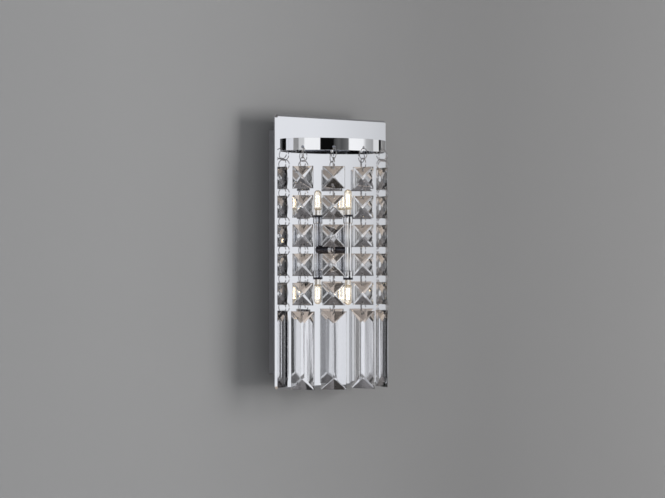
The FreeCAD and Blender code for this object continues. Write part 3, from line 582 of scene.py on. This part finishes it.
def make_plate():
    plate = box_between("mirror_plate", plate_low, plate_high)
    with Shaping(plate) as shaping:
        shaping.pick("EDGE", lambda m, e: abs(m.y - (plate_low.y + plate_high.y) / 2) < NEAR)
        bpy.ops.mesh.bevel(offset=CORNER_RADIUS, segments=CORNER_STEPS, affect="EDGES")
        shaping.pick("FACE", lambda m, f: f.normal.y < -FACES_THAT_WAY)
        bpy.ops.mesh.region_to_loop()
        bpy.ops.mesh.bevel(offset=FRONT_CHAMFER, segments=1, affect="EDGES")
        shaping.pick("FACE", lambda m, f: f.normal.y > FACES_THAT_WAY)
        bpy.ops.mesh.inset(thickness=PLATE_SHEET)
        depth = plate_high.y - plate_low.y - PLATE_SHEET
        bpy.ops.mesh.extrude_region_move(TRANSFORM_OT_translate={"value": (0, -depth, 0)})
    arm_hole = pin("arm_hole", ARM_HOLE_RADIUS, PLATE_DRILL, (0, plate_front, arm_z), INTO_THE_WALL,
                   ARM_HOLE_CORNERS)
    return smooth(carve(plate, [arm_hole, *screw_drills(PLATE_DRILL)]), PLATE_SMOOTH)


plate = dress(make_plate(), "mirror_plate_chrome", "fitting", "backplate")
print("mirror plate:", len(plate.data.polygons), "faces")

# %% [markdown]
# The crown band is a flat chrome strip bent to half an ellipse. Each end is turned in as a foot, which a
# screw holds to the plate. A circle's outline is scaled to the ellipse, cut at the plate and drawn up to
# the strip's height. Its end edges are pushed inwards for the feet, and solidify gives the sheet.

# %% Crown band
BAND_SHEET = 1.2 * MM
BAND_FOOT = 10.0 * MM
BAND_HOLE_RADIUS = 1.7 * MM
BAND_HOLE_RISE = 3.4 * MM
BAND_DRILL = 8 * MM
BAND_POINTS = 160
BAND_EDGE = 0.25 * MM
BAND_SMOOTH = 30
STRAND_NUMBERS = (1, 2, 3, 4, 5)

band_low, band_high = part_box("crown_band")
band_half_width = band_high.x
band_reach = plate_front - band_low.y
joints = {joint["name"]: joint for joint in frame["joints"]}


def strand_spot(number):
    """Where a strand hangs in plan, and which way the band faces there."""
    swing = joints[f"strand_{number}_swing"]
    x, y, _ = swing["pos_m"]
    axis = swing["axis"]
    return x, y, math.atan2(-axis[1], -axis[0])


def strand_facing(number):
    """Which way a strand's crystals face, read from the foremost point of its first crystal."""
    blank = frame["nodes"][f"strand_{number}_crystal_1"]
    x, y, _ = strand_spot(number)
    corners = [blank.matrix_world @ v.co for v in blank.data.vertices]
    middle_z = (min(c.z for c in corners) + max(c.z for c in corners)) / 2
    tips = [c for c in corners if abs(c.z - middle_z) < NEAR and math.hypot(c.x - x, c.y - y) > MM]
    tip = min(tips, key=lambda c: c.y)
    return math.atan2(tip.x - x, y - tip.y)


def make_band():
    band = add("crown_band_strip", bpy.ops.mesh.primitive_circle_add, vertices=BAND_POINTS, radius=1,
               location=(0, plate_front, band_low.z))
    band.scale = (band_half_width - BAND_SHEET / 2, band_reach - BAND_SHEET / 2, 1)
    settle(band)
    foot_plane = plate_front - BAND_SHEET / 2
    with Shaping(band) as shaping:
        bpy.ops.mesh.select_all(action="SELECT")
        bpy.ops.mesh.bisect(plane_co=(0, foot_plane, 0), plane_no=INTO_THE_WALL, clear_outer=True,
                            threshold=CUT_THRESHOLD)
        for side in (-1, 1):
            shaping.pick("VERT", lambda m, v: side * m.x > 0 and abs(m.y - foot_plane) < MERGE_DISTANCE)
            bpy.ops.mesh.extrude_region_move(TRANSFORM_OT_translate={
                "value": (-side * (BAND_FOOT - BAND_SHEET / 2), 0, 0)})
        bpy.ops.mesh.select_all(action="SELECT")
        bpy.ops.mesh.extrude_region_move(TRANSFORM_OT_translate={
            "value": (0, 0, band_high.z - band_low.z)})
        bpy.ops.mesh.select_all(action="SELECT")
        bpy.ops.mesh.normals_make_consistent(inside=False)
    use(band, "SOLIDIFY", "sheet", thickness=BAND_SHEET, offset=0, use_even_offset=True)
    hole_z = band_low.z + BAND_HOLE_RISE
    holes = []
    for number in STRAND_NUMBERS:
        x, y, _ = strand_spot(number)
        outwards = Vector((x / band_half_width ** 2, (y - plate_front) / band_reach ** 2, 0)).normalized()
        holes.append(pin("strand_hole", BAND_HOLE_RADIUS, BAND_DRILL, (x, y, hole_z), outwards))
    carve(band, holes + screw_drills(BAND_DRILL))
    soften(band, BAND_EDGE, 2, 50)
    return smooth(band, BAND_SMOOTH)


FACING = {number: strand_facing(number) for number in STRAND_NUMBERS}
band = dress(make_band(), "band_and_tube_chrome", "fitting", "crown_band")
print("crown band:", len(band.data.polygons), "faces, reaching", round(band_reach / MM, 1), "mm")

# %% [markdown]
# Each square crystal is cut as a low pyramid on both faces of a thin girdle. A flat box is the blank. Its
# front and back faces are drawn out and merged to a point, every ridge gets the hair-thin flat that
# polishing leaves, and two holes take the wire links. The holes are a hair wider than in the construction,
# to clear the links when the strand is bent. One crystal is cut, and copies of it are hung.

# %% Square crystals
GIRDLE = 3.0 * MM
CRYSTAL_DEPTH = 10.0 * MM
CRYSTAL_HOLE_RADIUS = 1.2 * MM
CRYSTAL_HOLE_INSET = 2.4 * MM
BORE_CORNERS = 28
POLISHED_FLAT = 0.14 * MM
POLISHED_ANGLE = 8
CRYSTAL_NUMBERS = (1, 2, 3, 4, 5)
ABOVE_THE_BEND = 3

crystal_low, crystal_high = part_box("strand_3_crystal_1")
crystal_side = crystal_high.z - crystal_low.z


def bore(piece, radius, thickness, heights):
    """Bores a cut piece from front to back at some heights, and shades only the holes smooth."""
    carve(piece, [pin("bore", radius, 2 * thickness, (0, 0, height), INTO_THE_WALL, BORE_CORNERS)
                  for height in heights])
    reach = radius + NEAR
    with Shaping(piece) as shaping:
        shaping.pick("FACE", lambda m, f: abs(f.normal.y) < FACES_ACROSS and abs(m.x) < reach
                     and any(abs(m.z - height) < reach for height in heights))
        bpy.ops.mesh.faces_shade_smooth()
    return piece


def make_crystal():
    half = Vector((crystal_side, GIRDLE, crystal_side)) / 2
    piece = box_between("crystal_master", -half, half)
    rise = (CRYSTAL_DEPTH - GIRDLE) / 2
    with Shaping(piece) as shaping:
        for side in (-1, 1):
            shaping.pick("FACE", lambda m, f: side * f.normal.y > FACES_THAT_WAY)
            bpy.ops.mesh.extrude_region_move(TRANSFORM_OT_translate={"value": (0, side * rise, 0)})
            bpy.ops.mesh.merge(type="CENTER")
    soften(piece, POLISHED_FLAT, 1, POLISHED_ANGLE)
    hole_z = crystal_side / 2 - CRYSTAL_HOLE_INSET
    return bore(piece, CRYSTAL_HOLE_RADIUS, CRYSTAL_DEPTH, (-hole_z, hole_z))


def strand_place(number, z, twist=0.0):
    """Hangs a piece at a height in a strand, turned as that strand's crystals face."""
    x, y, _ = strand_spot(number)
    return Matrix.Translation((x, y, z)) @ Matrix.Rotation(FACING[number] + twist, 4, "Z")


def hang(master, number, part, finish_name, body):
    """Hangs a copy of a master in place of a part of a strand, on one of the strand's bodies."""
    node = f"strand_{number}_{part}"
    low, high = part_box(node)
    hung = copy_of(master, f"cut_{node}", strand_place(number, (low.z + high.z) / 2))
    dress(hung, finish_name, f"strand_{number}_{body}", node)


crystal_master = make_crystal()
for number in STRAND_NUMBERS:
    for k in CRYSTAL_NUMBERS:
        hang(crystal_master, number, f"crystal_{k}", "cut_crystal",
             "top" if k <= ABOVE_THE_BEND else "bottom")
print("square crystals:", len(crystal_master.data.polygons), "faces each")

# %% [markdown]
# The long prisms end the strands. A bar is cut with four long planes, which leave a ridge down the front
# and the back, and with four short ones that bevel both ends to thin edges. Bisecting with fill does what a
# grinding wheel does. The bar is a hair narrower than in the construction, to clear the plate in its swing.

# %% Long prisms
PRISM_WIDTH = 27.8 * MM
PRISM_DEPTH = 11.0 * MM
PRISM_SIDE_EDGE = 2.6 * MM
PRISM_END_EDGE = 2.4 * MM
PRISM_BEVEL = 13.0 * MM
PRISM_HOLE_RADIUS = 1.3 * MM
PRISM_HOLE_INSET = 3.2 * MM

prism_low, prism_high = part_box("strand_3_prism")
prism_length = prism_high.z - prism_low.z


def grind(point, normal):
    """Takes off all that lies beyond a plane, and closes the piece there."""
    bpy.ops.mesh.select_all(action="SELECT")
    bpy.ops.mesh.bisect(plane_co=point, plane_no=normal, use_fill=True, clear_outer=True,
                        threshold=CUT_THRESHOLD)


def make_prism():
    half = Vector((PRISM_WIDTH, PRISM_DEPTH, prism_length)) / 2
    piece = box_between("prism_master", -half, half)
    long_cut = Vector(((PRISM_DEPTH - PRISM_SIDE_EDGE) / 2, PRISM_WIDTH / 2, 0)).normalized()
    end_cut = Vector((0, PRISM_BEVEL, (PRISM_DEPTH - PRISM_END_EDGE) / 2)).normalized()
    with Shaping(piece):
        for face in (-1, 1):
            for side in (-1, 1):
                grind((0, face * PRISM_DEPTH / 2, 0), (side * long_cut.x, face * long_cut.y, 0))
            for end in (-1, 1):
                grind((0, face * PRISM_END_EDGE / 2, end * prism_length / 2),
                      (0, face * end_cut.y, end * end_cut.z))
        bpy.ops.mesh.select_all(action="SELECT")
        bpy.ops.mesh.normals_make_consistent(inside=False)
    soften(piece, POLISHED_FLAT, 1, POLISHED_ANGLE)
    return bore(piece, PRISM_HOLE_RADIUS, PRISM_DEPTH, (prism_length / 2 - PRISM_HOLE_INSET,))


prism_master = make_prism()
for number in STRAND_NUMBERS:
    hang(prism_master, number, "prism", "polished_prism", "drop")
print("prisms:", len(prism_master.data.polygons), "faces each")

# %% [markdown]
# Round wire links join the crystals. Each is a ring of spring wire, cut once so that it can be opened with
# pliers. A torus is the ring, a few of its faces are taken out for the cut, and the wire's two ends are
# closed. The rings of one stretch of a strand are one piece, as they move together. Only the top ring
# stands askew, because it runs through the band and not through a crystal.

# %% Wire links
LINK_RADIUS = 6.0 * MM
LINK_WIRE = 0.45 * MM
LINK_STEPS = 48
WIRE_CORNERS = 10
CUT_SHARE_OF_A_STEP = 0.6
LINK_SMOOTH = 40
TOP_LINK_TWIST = math.radians(35)


def make_link():
    ring = add("link_master", bpy.ops.mesh.primitive_torus_add, major_radius=LINK_RADIUS,
               minor_radius=LINK_WIRE, major_segments=LINK_STEPS, minor_segments=WIRE_CORNERS,
               rotation=(0, QUARTER_TURN, 0))
    settle(ring)
    gap = math.tau / LINK_STEPS * CUT_SHARE_OF_A_STEP
    with Shaping(ring) as shaping:
        shaping.pick("FACE", lambda m, f: abs(math.atan2(m.z, m.y)) < gap)
        bpy.ops.mesh.delete(type="FACE")
        bpy.ops.mesh.select_all(action="SELECT")
        bpy.ops.mesh.fill_holes(sides=WIRE_CORNERS)
    return smooth(ring, LINK_SMOOTH)


def ring_at(number, z, twist=0.0):
    return copy_of(link_master, "ring", strand_place(number, z, twist))


link_master = make_link()
for number in STRAND_NUMBERS:
    levels = {k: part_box(f"strand_{number}_crystal_{k}")[0].z + crystal_side / 2 for k in CRYSTAL_NUMBERS}
    half_pitch = (levels[1] - levels[2]) / 2
    for part, body in (("upper", "top"), ("lower", "bottom")):
        node = f"strand_{number}_{part}_links"
        rings = [ring_at(number, levels[k] - half_pitch) for k in CRYSTAL_NUMBERS
                 if (k <= ABOVE_THE_BEND) == (part == "upper")]
        if part == "upper":
            top_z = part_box(node)[1].z - LINK_RADIUS - LINK_WIRE
            away = strand_spot(number)[2] - FACING[number]
            twist = math.copysign(max(TOP_LINK_TWIST, abs(away)), away)
            rings += [ring_at(number, top_z, twist), ring_at(number, levels[1] + half_pitch)]
        dress(joined(f"strand_{number}_{part}_rings", rings), "link_spring_wire",
              f"strand_{number}_{body}", node)
print("links:", len(link_master.data.polygons), "faces each")
for master in (crystal_master, prism_master, link_master):
    bpy.data.objects.remove(master)

# %% [markdown]
# The lamp stands behind the strands: an upright chrome tube on a hollow arm, with a cup at each end. Each
# cup ends in a dark rim, which is painted shade for the shaded lampholder inside the cup's mouth. All these
# are turned parts, so half an outline is drawn and spun about the tube's axis. Rounded feet are given as
# pairs, in millimetres: how far a corner lies in, and how high.

# %% Lamp tube and cups
LAMP_STEPS = 56
TUBE_WALL = 0.8 * MM
TUBE_EDGE = 0.2 * MM
INLET_RADIUS = 2.3 * MM
CUP_WALL = 0.6 * MM
CUP_BASE = 1.2 * MM
CUP_HEIGHT = 10.0 * MM
CUP_FOOT = ((1.2, 0.0), (0.45, 0.3), (0.12, 1.0))
RIM_HEIGHT = 2.4 * MM
RIM_WALL = 0.3 * MM
RIM_EDGE = 0.15 * MM
RIM_STANDS_OVER = 0.1 * MM
TURNED_SMOOTH = 35
RIM_SMOOTH = 50

tube_low, tube_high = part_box("lamp_tube")
cups_low, cups_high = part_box("lamp_cups")
lamp_x, lamp_y = (tube_low.x + tube_high.x) / 2, (tube_low.y + tube_high.y) / 2
tube_radius = (tube_high.x - tube_low.x) / 2
cup_radius = (cups_high.x - cups_low.x) / 2
UP = Matrix.Identity(4)
DOWN = Matrix.Rotation(math.pi, 4, "X")


def lamp_place(level, side):
    """Puts a turned part on the tube's axis, upright or upside down."""
    return Matrix.Translation((lamp_x, lamp_y, level)) @ (UP if side > 0 else DOWN)


def rounded_foot(radius, foot, floor=0.0):
    """Corners that lead out from a floor to a radius."""
    return [(radius - inset * MM, floor + rise * MM) for inset, rise in foot]


def sleeve(name, inner, outer, low, high, edge):
    """A short or long ring of square section, its outer edges eased."""
    return lathe(name, [
        (inner, low), (outer - edge, low), (outer, low + edge), (outer, high - edge),
        (outer - edge, high), (inner, high), (inner, low),
    ], LAMP_STEPS)


def make_tube():
    tube = sleeve("lamp_tube_chrome", tube_radius - TUBE_WALL, tube_radius, tube_low.z, tube_high.z,
                  TUBE_EDGE)
    tube.data.transform(Matrix.Translation((lamp_x, lamp_y, 0)))
    inlet = pin("inlet", INLET_RADIUS, 3 * tube_radius, (0, lamp_y + 1.5 * tube_radius, arm_z),
                INTO_THE_WALL)
    return smooth(carve(tube, [inlet]), TURNED_SMOOTH)


def make_cup():
    """A cup standing on its base at height 0, turned thinner where its rim of painted shade goes on."""
    seat = cup_radius - RIM_WALL
    inner = cup_radius - CUP_WALL
    shoulder, top = CUP_HEIGHT - RIM_HEIGHT, CUP_HEIGHT - RIM_STANDS_OVER
    foot = rounded_foot(cup_radius, CUP_FOOT)
    return smooth(lathe("cup_master", [
        (tube_radius, 0), *foot, (foot[-1][0], shoulder), (seat, shoulder), (seat, top), (inner, top),
        (inner, CUP_BASE), (tube_radius, CUP_BASE), (tube_radius, 0),
    ], LAMP_STEPS), TURNED_SMOOTH)


def make_painted_shade_rim():
    """The cup's dark rim, painted shade for the shaded lampholder inside, at the height where it sits on the
    cup.
    """
    return smooth(sleeve("painted_shade_rim_master", cup_radius - RIM_WALL, cup_radius, CUP_HEIGHT - RIM_HEIGHT,
                         CUP_HEIGHT, RIM_EDGE), RIM_SMOOTH)


def pair_of(master, name):
    """An upper and a lower copy of a cup's part as one piece; the master is deleted."""
    halves = [copy_of(master, "half", place)
              for place in (lamp_place(cups_high.z - CUP_HEIGHT, 1), lamp_place(cups_low.z + CUP_HEIGHT, -1))]
    bpy.data.objects.remove(master)
    return joined(name, halves)


dress(make_tube(), "band_and_tube_chrome", "fitting", "lamp_tube")
dress(pair_of(make_cup(), "lamp_cup_pair"), "band_and_tube_chrome", "fitting", "lamp_cups")
# painted shade: a dark nickel rim stands in for the shaded lampholder inside each cup's mouth
dress(pair_of(make_painted_shade_rim(), "cup_painted_shade_rim_pair"), "collar_dark_nickel", "fitting")
print("lamp tube radius", round(tube_radius / MM, 2), "mm, cup radius", round(cup_radius / MM, 2), "mm")

# %% [markdown]
# A two-pin capsule bulb is a quartz tube, domed at one end and pinched flat at the other, where the pins
# come out. Inside, two thin wires on the pins hold a coil of tungsten near the tip. The envelope is turned
# with its true wall, and the pinch is a bevelled block. The coil is a small ring screwed along its axis.

# %% Capsule bulbs
BULB_RADIUS = 4.3 * MM
BULB_WALL = 0.8 * MM
PINCH = Vector((7.4, 3.0, 6.0)) * MM
PIN_SPACING = 4.0 * MM
PIN_RADIUS = 0.35 * MM
PIN_LENGTH = 6.5 * MM
FILAMENT_RISE = 3.0 * MM
SUPPORT_OVERLAP = 0.5 * MM
COIL_FROM_TIP = 7.0 * MM
COIL_RADIUS = 0.45 * MM
COIL_WIRE = 0.12 * MM
COIL_WIRE_CORNERS = 8
COIL_TURNS = 9
COIL_STEPS = 16
DOME_STEPS = 8
SHELL_FOOT = ((1.5, 0.0), (0.4, 0.5), (0.0, 1.6))
HOLLOW_FOOT = ((1.2, 0.0), (0.0, 1.4))
PINCH_EDGE = 0.6 * MM
PIN_EDGE = 0.1 * MM
PIN_CORNERS = 16
BULB_SMOOTH = 40

glass_low, glass_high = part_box("upper_bulb_glass")
bulb_length = glass_high.z - glass_low.z
pins_top = PINCH.z + BULB_WALL + FILAMENT_RISE


def capsule(name, radius, floor, foot):
    """A turned capsule: a flat floor, a rounded foot, and a dome that ends at its pole."""
    centre = bulb_length - BULB_RADIUS
    turns = [QUARTER_TURN * i / DOME_STEPS for i in range(DOME_STEPS)]
    return lathe(name, [
        (0.0, floor), *rounded_foot(radius, foot, floor),
        *((radius * math.cos(turn), centre + radius * math.sin(turn)) for turn in turns),
        (0.0, centre + radius),
    ], LAMP_STEPS)


def make_envelope():
    """An envelope whose pinch stands at height 0."""
    shell = capsule("envelope_shell", BULB_RADIUS, PINCH.z, SHELL_FOOT)
    carve(shell, [capsule("envelope_hollow", BULB_RADIUS - BULB_WALL, PINCH.z + BULB_WALL, HOLLOW_FOOT)])
    pinch = box_between("pinch", Vector((-PINCH.x / 2, -PINCH.y / 2, 0)),
                        Vector((PINCH.x / 2, PINCH.y / 2, PINCH.z + BULB_WALL / 2)))
    soften(pinch, PINCH_EDGE, 3, 40)
    use(shell, "BOOLEAN", "fused", operation="UNION", object=pinch, solver="EXACT")
    bpy.data.objects.remove(pinch)
    return smooth(shell, BULB_SMOOTH)


def two_wires(name, radius, low, high, corners):
    """Two upright wires, as far apart as the pins."""
    return [pin(name, radius, high - low, (side * PIN_SPACING / 2, 0, (high + low) / 2), UPRIGHT, corners)
            for side in (-1, 1)]


def make_pins():
    """Two pins, on into the envelope, for a pinch that stands at height 0."""
    pins = [soften(wire, PIN_EDGE, 2, 40)
            for wire in two_wires("pin", PIN_RADIUS, -PIN_LENGTH, pins_top, PIN_CORNERS)]
    return smooth(joined("pin_pair", pins), BULB_SMOOTH)


def make_coil():
    """A coil on two thin wires that stand on the pins, made by screwing a small ring along X."""
    ring = settle(add("coil", bpy.ops.mesh.primitive_circle_add, vertices=COIL_WIRE_CORNERS,
                      radius=COIL_WIRE, rotation=(QUARTER_TURN, 0, 0)))
    ring.data.transform(Matrix.Translation((COIL_RADIUS, 0, 0)))
    pitch = (PIN_SPACING - 2 * COIL_WIRE) / COIL_TURNS
    use(ring, "SCREW", "turns", axis="Z", angle=math.tau, screw_offset=pitch, iterations=COIL_TURNS,
        steps=COIL_STEPS, render_steps=COIL_STEPS, use_smooth_shade=True)
    with Shaping(ring):
        bpy.ops.mesh.select_all(action="SELECT")
        bpy.ops.mesh.remove_doubles(threshold=MERGE_DISTANCE)
        bpy.ops.mesh.fill_holes(sides=COIL_WIRE_CORNERS)
        bpy.ops.mesh.select_all(action="SELECT")
        bpy.ops.mesh.normals_make_consistent(inside=False)
    height = bulb_length - COIL_FROM_TIP
    ring.data.transform(Matrix.Translation((-pitch * COIL_TURNS / 2, 0, height))
                        @ Matrix.Rotation(QUARTER_TURN, 4, "Y"))
    wires = two_wires("support", COIL_WIRE, pins_top - SUPPORT_OVERLAP, height + SUPPORT_OVERLAP,
                      COIL_WIRE_CORNERS)
    return joined("coil", [ring, *wires])


envelope_master, pins_master, coil_master = make_envelope(), make_pins(), make_coil()
for name, side in (("upper_bulb", 1), ("lower_bulb", -1)):
    low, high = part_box(name + "_glass")
    place = lamp_place(low.z if side > 0 else high.z, side)
    dress(copy_of(envelope_master, name + "_envelope", place), "lamp_quartz_painted_glow", name, name + "_glass")
    dress(copy_of(pins_master, name + "_pin_pair", place), "contact_pin_steel", name, name + "_pins")
    dress(copy_of(coil_master, name + "_coil", place), "glowing_filament", name)
for master in (envelope_master, pins_master, coil_master):
    bpy.data.objects.remove(master)
print("capsule bulbs", round(bulb_length / MM, 1), "mm long")

# %% [markdown]
# The other pieces have their right shape in the construction, so they keep it and only take a finish. They
# are the arm with its nut and collar, the box, the bracket, and the electrical parts.

# %% Finishes on the construction
CARRIED = {
    "band_and_tube_chrome": ("lamp_arm",),
    "collar_dark_nickel": ("arm_collar",),
    "bracket_zinc_plate": ("wall_bracket", "side_screws", "band_screws", "arm_nut"),
    "box_silver_paint": ("back_box",),
    "grommet_rubber": ("cable_grommet",),
    "lampholder_ceramic": ("lampholders",),
    "transformer_case": ("transformer",),
    "terminal_nylon": ("terminal_block",),
    "lead_sleeving": ("inner_leads",),
}
for finish_name, names in CARRIED.items():
    for name in names:
        for material_slot in frame["nodes"][name].material_slots:
            material_slot.material = FINISHES[finish_name][0]
print("finishes put on", sum(len(names) for names in CARRIED.values()), "construction nodes")

# %% [markdown]
# The studio is a grey wall and a pale floor far below. The wall's paint works on the room's side only: from
# behind it is clear, so that the back of the light can be looked at. Painted light makes it paler to the
# left, where it is lit more brightly. The floor only sends light up, and neither chrome nor glass shows it.

# %% Studio wall and floor
WALL_BEHIND = 0.4 * MM
WALL_SIZE = 4.8
FLOOR_Z = -0.75
FLOOR_SIZE = 8.0
WALL_COLOUR = (0.215, 0.215, 0.218)
# painted light and shade on the wall's colour: paler to the left, darker to the right
WALL_PAINTED_LIGHT = 1.30
WALL_PAINTED_SHADE = 0.78
WALL_PAINTED_LIGHT_SPREAD = 0.35
WALL_CLOUDS = 0.15


def times(colour, factor):
    return tuple(part * factor for part in colour)


def wall_paint_and_painted_light(t):
    """Matt grey paint with painted light, paler to the left, on the room's side only; light from behind
    passes through.
    """
    place = t.node("ShaderNodeTexCoord", output="Object")
    across = t.node("ShaderNodeSeparateXYZ", {}, {0: place}, output="X")
    # painted light and shade: the colour runs paler to the left, where the wall is lit more brightly
    painted_light_and_clouds = across.within(-WALL_PAINTED_LIGHT_SPREAD, WALL_PAINTED_LIGHT_SPREAD) + (t.noise(3.0, 4.0) - 0.5) * WALL_CLOUDS
    paint = t.node("ShaderNodeBsdfDiffuse", {}, {
        "Color": t.blend(painted_light_and_clouds, times(WALL_COLOUR, WALL_PAINTED_LIGHT), times(WALL_COLOUR, WALL_PAINTED_SHADE))})
    clear = t.node("ShaderNodeBsdfTransparent")
    behind = t.node("ShaderNodeNewGeometry", output="Backfacing")
    shadow = t.node("ShaderNodeLightPath", output="Is Shadow Ray")
    return t.node("ShaderNodeMixShader", {}, {0: behind.math("MAXIMUM", behind, shadow), 1: paint, 2: clear})


def floor_paint(t):
    return t.node("ShaderNodeBsdfDiffuse", {}, {
        "Color": t.blend(t.noise(2.0, 3.0), (0.72, 0.72, 0.72), (0.76, 0.76, 0.76))})


def stage_plane(name, location, tilt, size, material):
    """A square sheet of the stage, level or tilted up about X."""
    plane = settle(add(name, bpy.ops.mesh.primitive_plane_add, size=size, location=location,
                       rotation=(tilt, 0, 0)))
    plane.data.materials.append(material)
    return plane


def hide_from(thing, *rays):
    """Hides one thing from some kinds of ray."""
    for ray in rays:
        setattr(thing, f"visible_{ray}", False)


stage_plane("studio_wall", (0, WALL_BEHIND, 0), QUARTER_TURN, WALL_SIZE,
            material_of("wall_paint_and_painted_light", wall_paint_and_painted_light))
floor = stage_plane("studio_floor", (0, 0, FLOOR_Z), 0, FLOOR_SIZE,
                    material_of("floor_paint", floor_paint))
hide_from(floor, "transmission", "glossy")
print("stage: wall and floor")

# %% [markdown]
# Two soft lamps do the work: the stronger stands to the right, so the plate's shadow falls on the wall to
# its left, and a weaker one stands to the left. The world fills the rest evenly. Chrome and glass don't see
# the lamps, which would burn out in them as hard white blocks.

# %% Lights
WORLD_COLOUR = (0.60, 0.61, 0.62)
WORLD_STRENGTH = 0.55


def towards(azimuth, elevation):
    """A direction from the object, azimuth 0 being straight out from the wall and 90 to its right."""
    a, e = math.radians(azimuth), math.radians(elevation)
    return Vector((math.sin(a) * math.cos(e), -math.cos(a) * math.cos(e), math.sin(e)))


def soft_lamp(name, azimuth, elevation, distance, width, height, power, colour):
    """A soft box that faces the object; angles are in degrees and the power is in watts."""
    data = bpy.data.lights.new(name, "AREA")
    data.shape = "RECTANGLE"
    data.size = width
    data.size_y = height
    data.energy = power
    data.color = colour
    lamp = bpy.data.objects.new(name, data)
    bpy.context.scene.collection.objects.link(lamp)
    way = towards(azimuth, elevation)
    lamp.location = way * distance
    lamp.rotation_euler = way.to_track_quat("Z", "Y").to_euler()
    hide_from(lamp, "camera", "glossy", "transmission")


soft_lamp("key_lamp", 50, 1, 2.8, 0.75, 1.4, 84, (1.0, 0.99, 0.97))
soft_lamp("fill_lamp", -50, 10, 2.8, 1.6, 1.6, 16, (0.96, 0.98, 1.0))

world = bpy.data.worlds.new("studio_air")
world.use_nodes = True
world_tree = NodeTree(world.node_tree)
air = world_tree.node("ShaderNodeBackground", {}, {
    "Color": (*WORLD_COLOUR, 1.0), "Strength": WORLD_STRENGTH,
})
world_tree.node("ShaderNodeOutputWorld", {}, {"Surface": air})
bpy.context.scene.world = world
print("lamps and world ready")

# %% [markdown]
# Polished chrome shows its room, so the room matters more than the lamps. A curved screen around the front
# carries what the metal and the glass should show, and adds no light of its own to matt surfaces. Its bands
# were chosen from what the plate and the crown band mirror: white to the left, black and dark grey ahead,
# white again, and greys to the right. By height it is warm below, white at the lamp's level and dark above,
# which tells a crystal's upper, side and lower facets apart. Two cards close it.

# %% Reflection screen
SCREEN_RADIUS = 3.4
SCREEN_HALF_HEIGHT = 2.2
SCREEN_STEPS = 96
SCREEN_BACK = 0.28
CARD_SIZE = 8.0
CARD_CLOUDS = 0.15
SCREEN_BANDS = (
    (-95, 0.62), (-72, 0.62), (-70, 0.97), (-32, 0.97), (-31, 0.004), (-6, 0.004), (-5, 0.045),
    (3, 0.12), (8, 0.08), (19, 0.16), (20.5, 1.0), (44, 0.97), (50, 0.50), (64, 0.36), (66, 0.74),
    (80, 0.76), (81, 0.01), (88, 0.01), (89, 0.28), (95, 0.28),
)
SCREEN_SPAN = 190.0
SCREEN_BLUER = 1.01
SCREEN_LEVELS = (
    (-0.64, (0.52, 0.44, 0.37)), (-0.24, (0.84, 0.73, 0.63)), (-0.13, (0.98, 0.99, 1.0)),
    (0.16, (0.98, 0.99, 1.0)), (0.21, (0.26, 0.25, 0.25)), (0.64, (0.15, 0.14, 0.14)),
)
SCREEN_RISE = 0.65


def screen_light(t):
    """Glow by direction: one ramp runs with azimuth, and another runs with height and tints it."""
    place = t.node("ShaderNodeTexCoord", output="Object")
    x, y, z = (t.node("ShaderNodeSeparateXYZ", {}, {0: place}, output=axis) for axis in "XYZ")
    azimuth = x.math("ARCTAN2", x, 0.0 - y) * (180 / math.pi)
    around = t.node("ShaderNodeValToRGB", {"stops": [
        (azimuth_deg / SCREEN_SPAN + 0.5, (level, level, level * SCREEN_BLUER))
        for azimuth_deg, level in SCREEN_BANDS]}, {"Fac": azimuth / SCREEN_SPAN + 0.5})
    tint = t.node("ShaderNodeValToRGB", {"stops": [
        (rise / (2 * SCREEN_RISE) + 0.5, colour) for rise, colour in SCREEN_LEVELS
    ]}, {"Fac": z / (2 * SCREEN_RISE * SCREEN_RADIUS) + 0.5})
    glow = t.node("ShaderNodeMix", {"data_type": "RGBA", "blend_type": "MULTIPLY"},
                  {"Factor": 1.0, FIRST_COLOUR: around, SECOND_COLOUR: tint}, output=MIXED_COLOUR)
    return t.node("ShaderNodeEmission", {}, {"Color": glow, "Strength": 1.0})


def make_screen():
    screen = add("reflection_screen", bpy.ops.mesh.primitive_cylinder_add, vertices=SCREEN_STEPS,
                 radius=SCREEN_RADIUS, depth=2 * SCREEN_HALF_HEIGHT, end_fill_type="NOTHING")
    settle(screen)
    with Shaping(screen) as shaping:
        shaping.pick("FACE", lambda m, f: m.y > SCREEN_BACK)
        bpy.ops.mesh.delete(type="FACE")
    screen.data.materials.append(material_of("screen_light", screen_light))
    hide_from(screen, "camera", "diffuse", "shadow")


def card_light(colour):
    """A plain glow, a little cloudy, as of an unlit ceiling or carpet."""
    def build(t):
        cloud = t.noise(1.5, 2.0)
        return t.node("ShaderNodeEmission", {}, {
            "Color": t.blend(cloud, times(colour, 1 - CARD_CLOUDS), times(colour, 1 + CARD_CLOUDS))})
    return build


make_screen()
for name, level, colour in (("dim_ceiling", SCREEN_HALF_HEIGHT, (0.15, 0.14, 0.14)),
                            ("warm_floor", -SCREEN_HALF_HEIGHT, (0.46, 0.39, 0.33))):
    card = stage_plane(name, (0, 0, level), 0, CARD_SIZE, material_of(name, card_light(colour)))
    hide_from(card, "camera", "diffuse", "shadow")
print("reflection screen:", len(SCREEN_BANDS), "bands, and two cards")

# %% [markdown]
# The look is taken with the plain Standard transform, so a colour renders about as it is written.

# %% Finish
bpy.context.scene.view_settings.view_transform = "Standard"
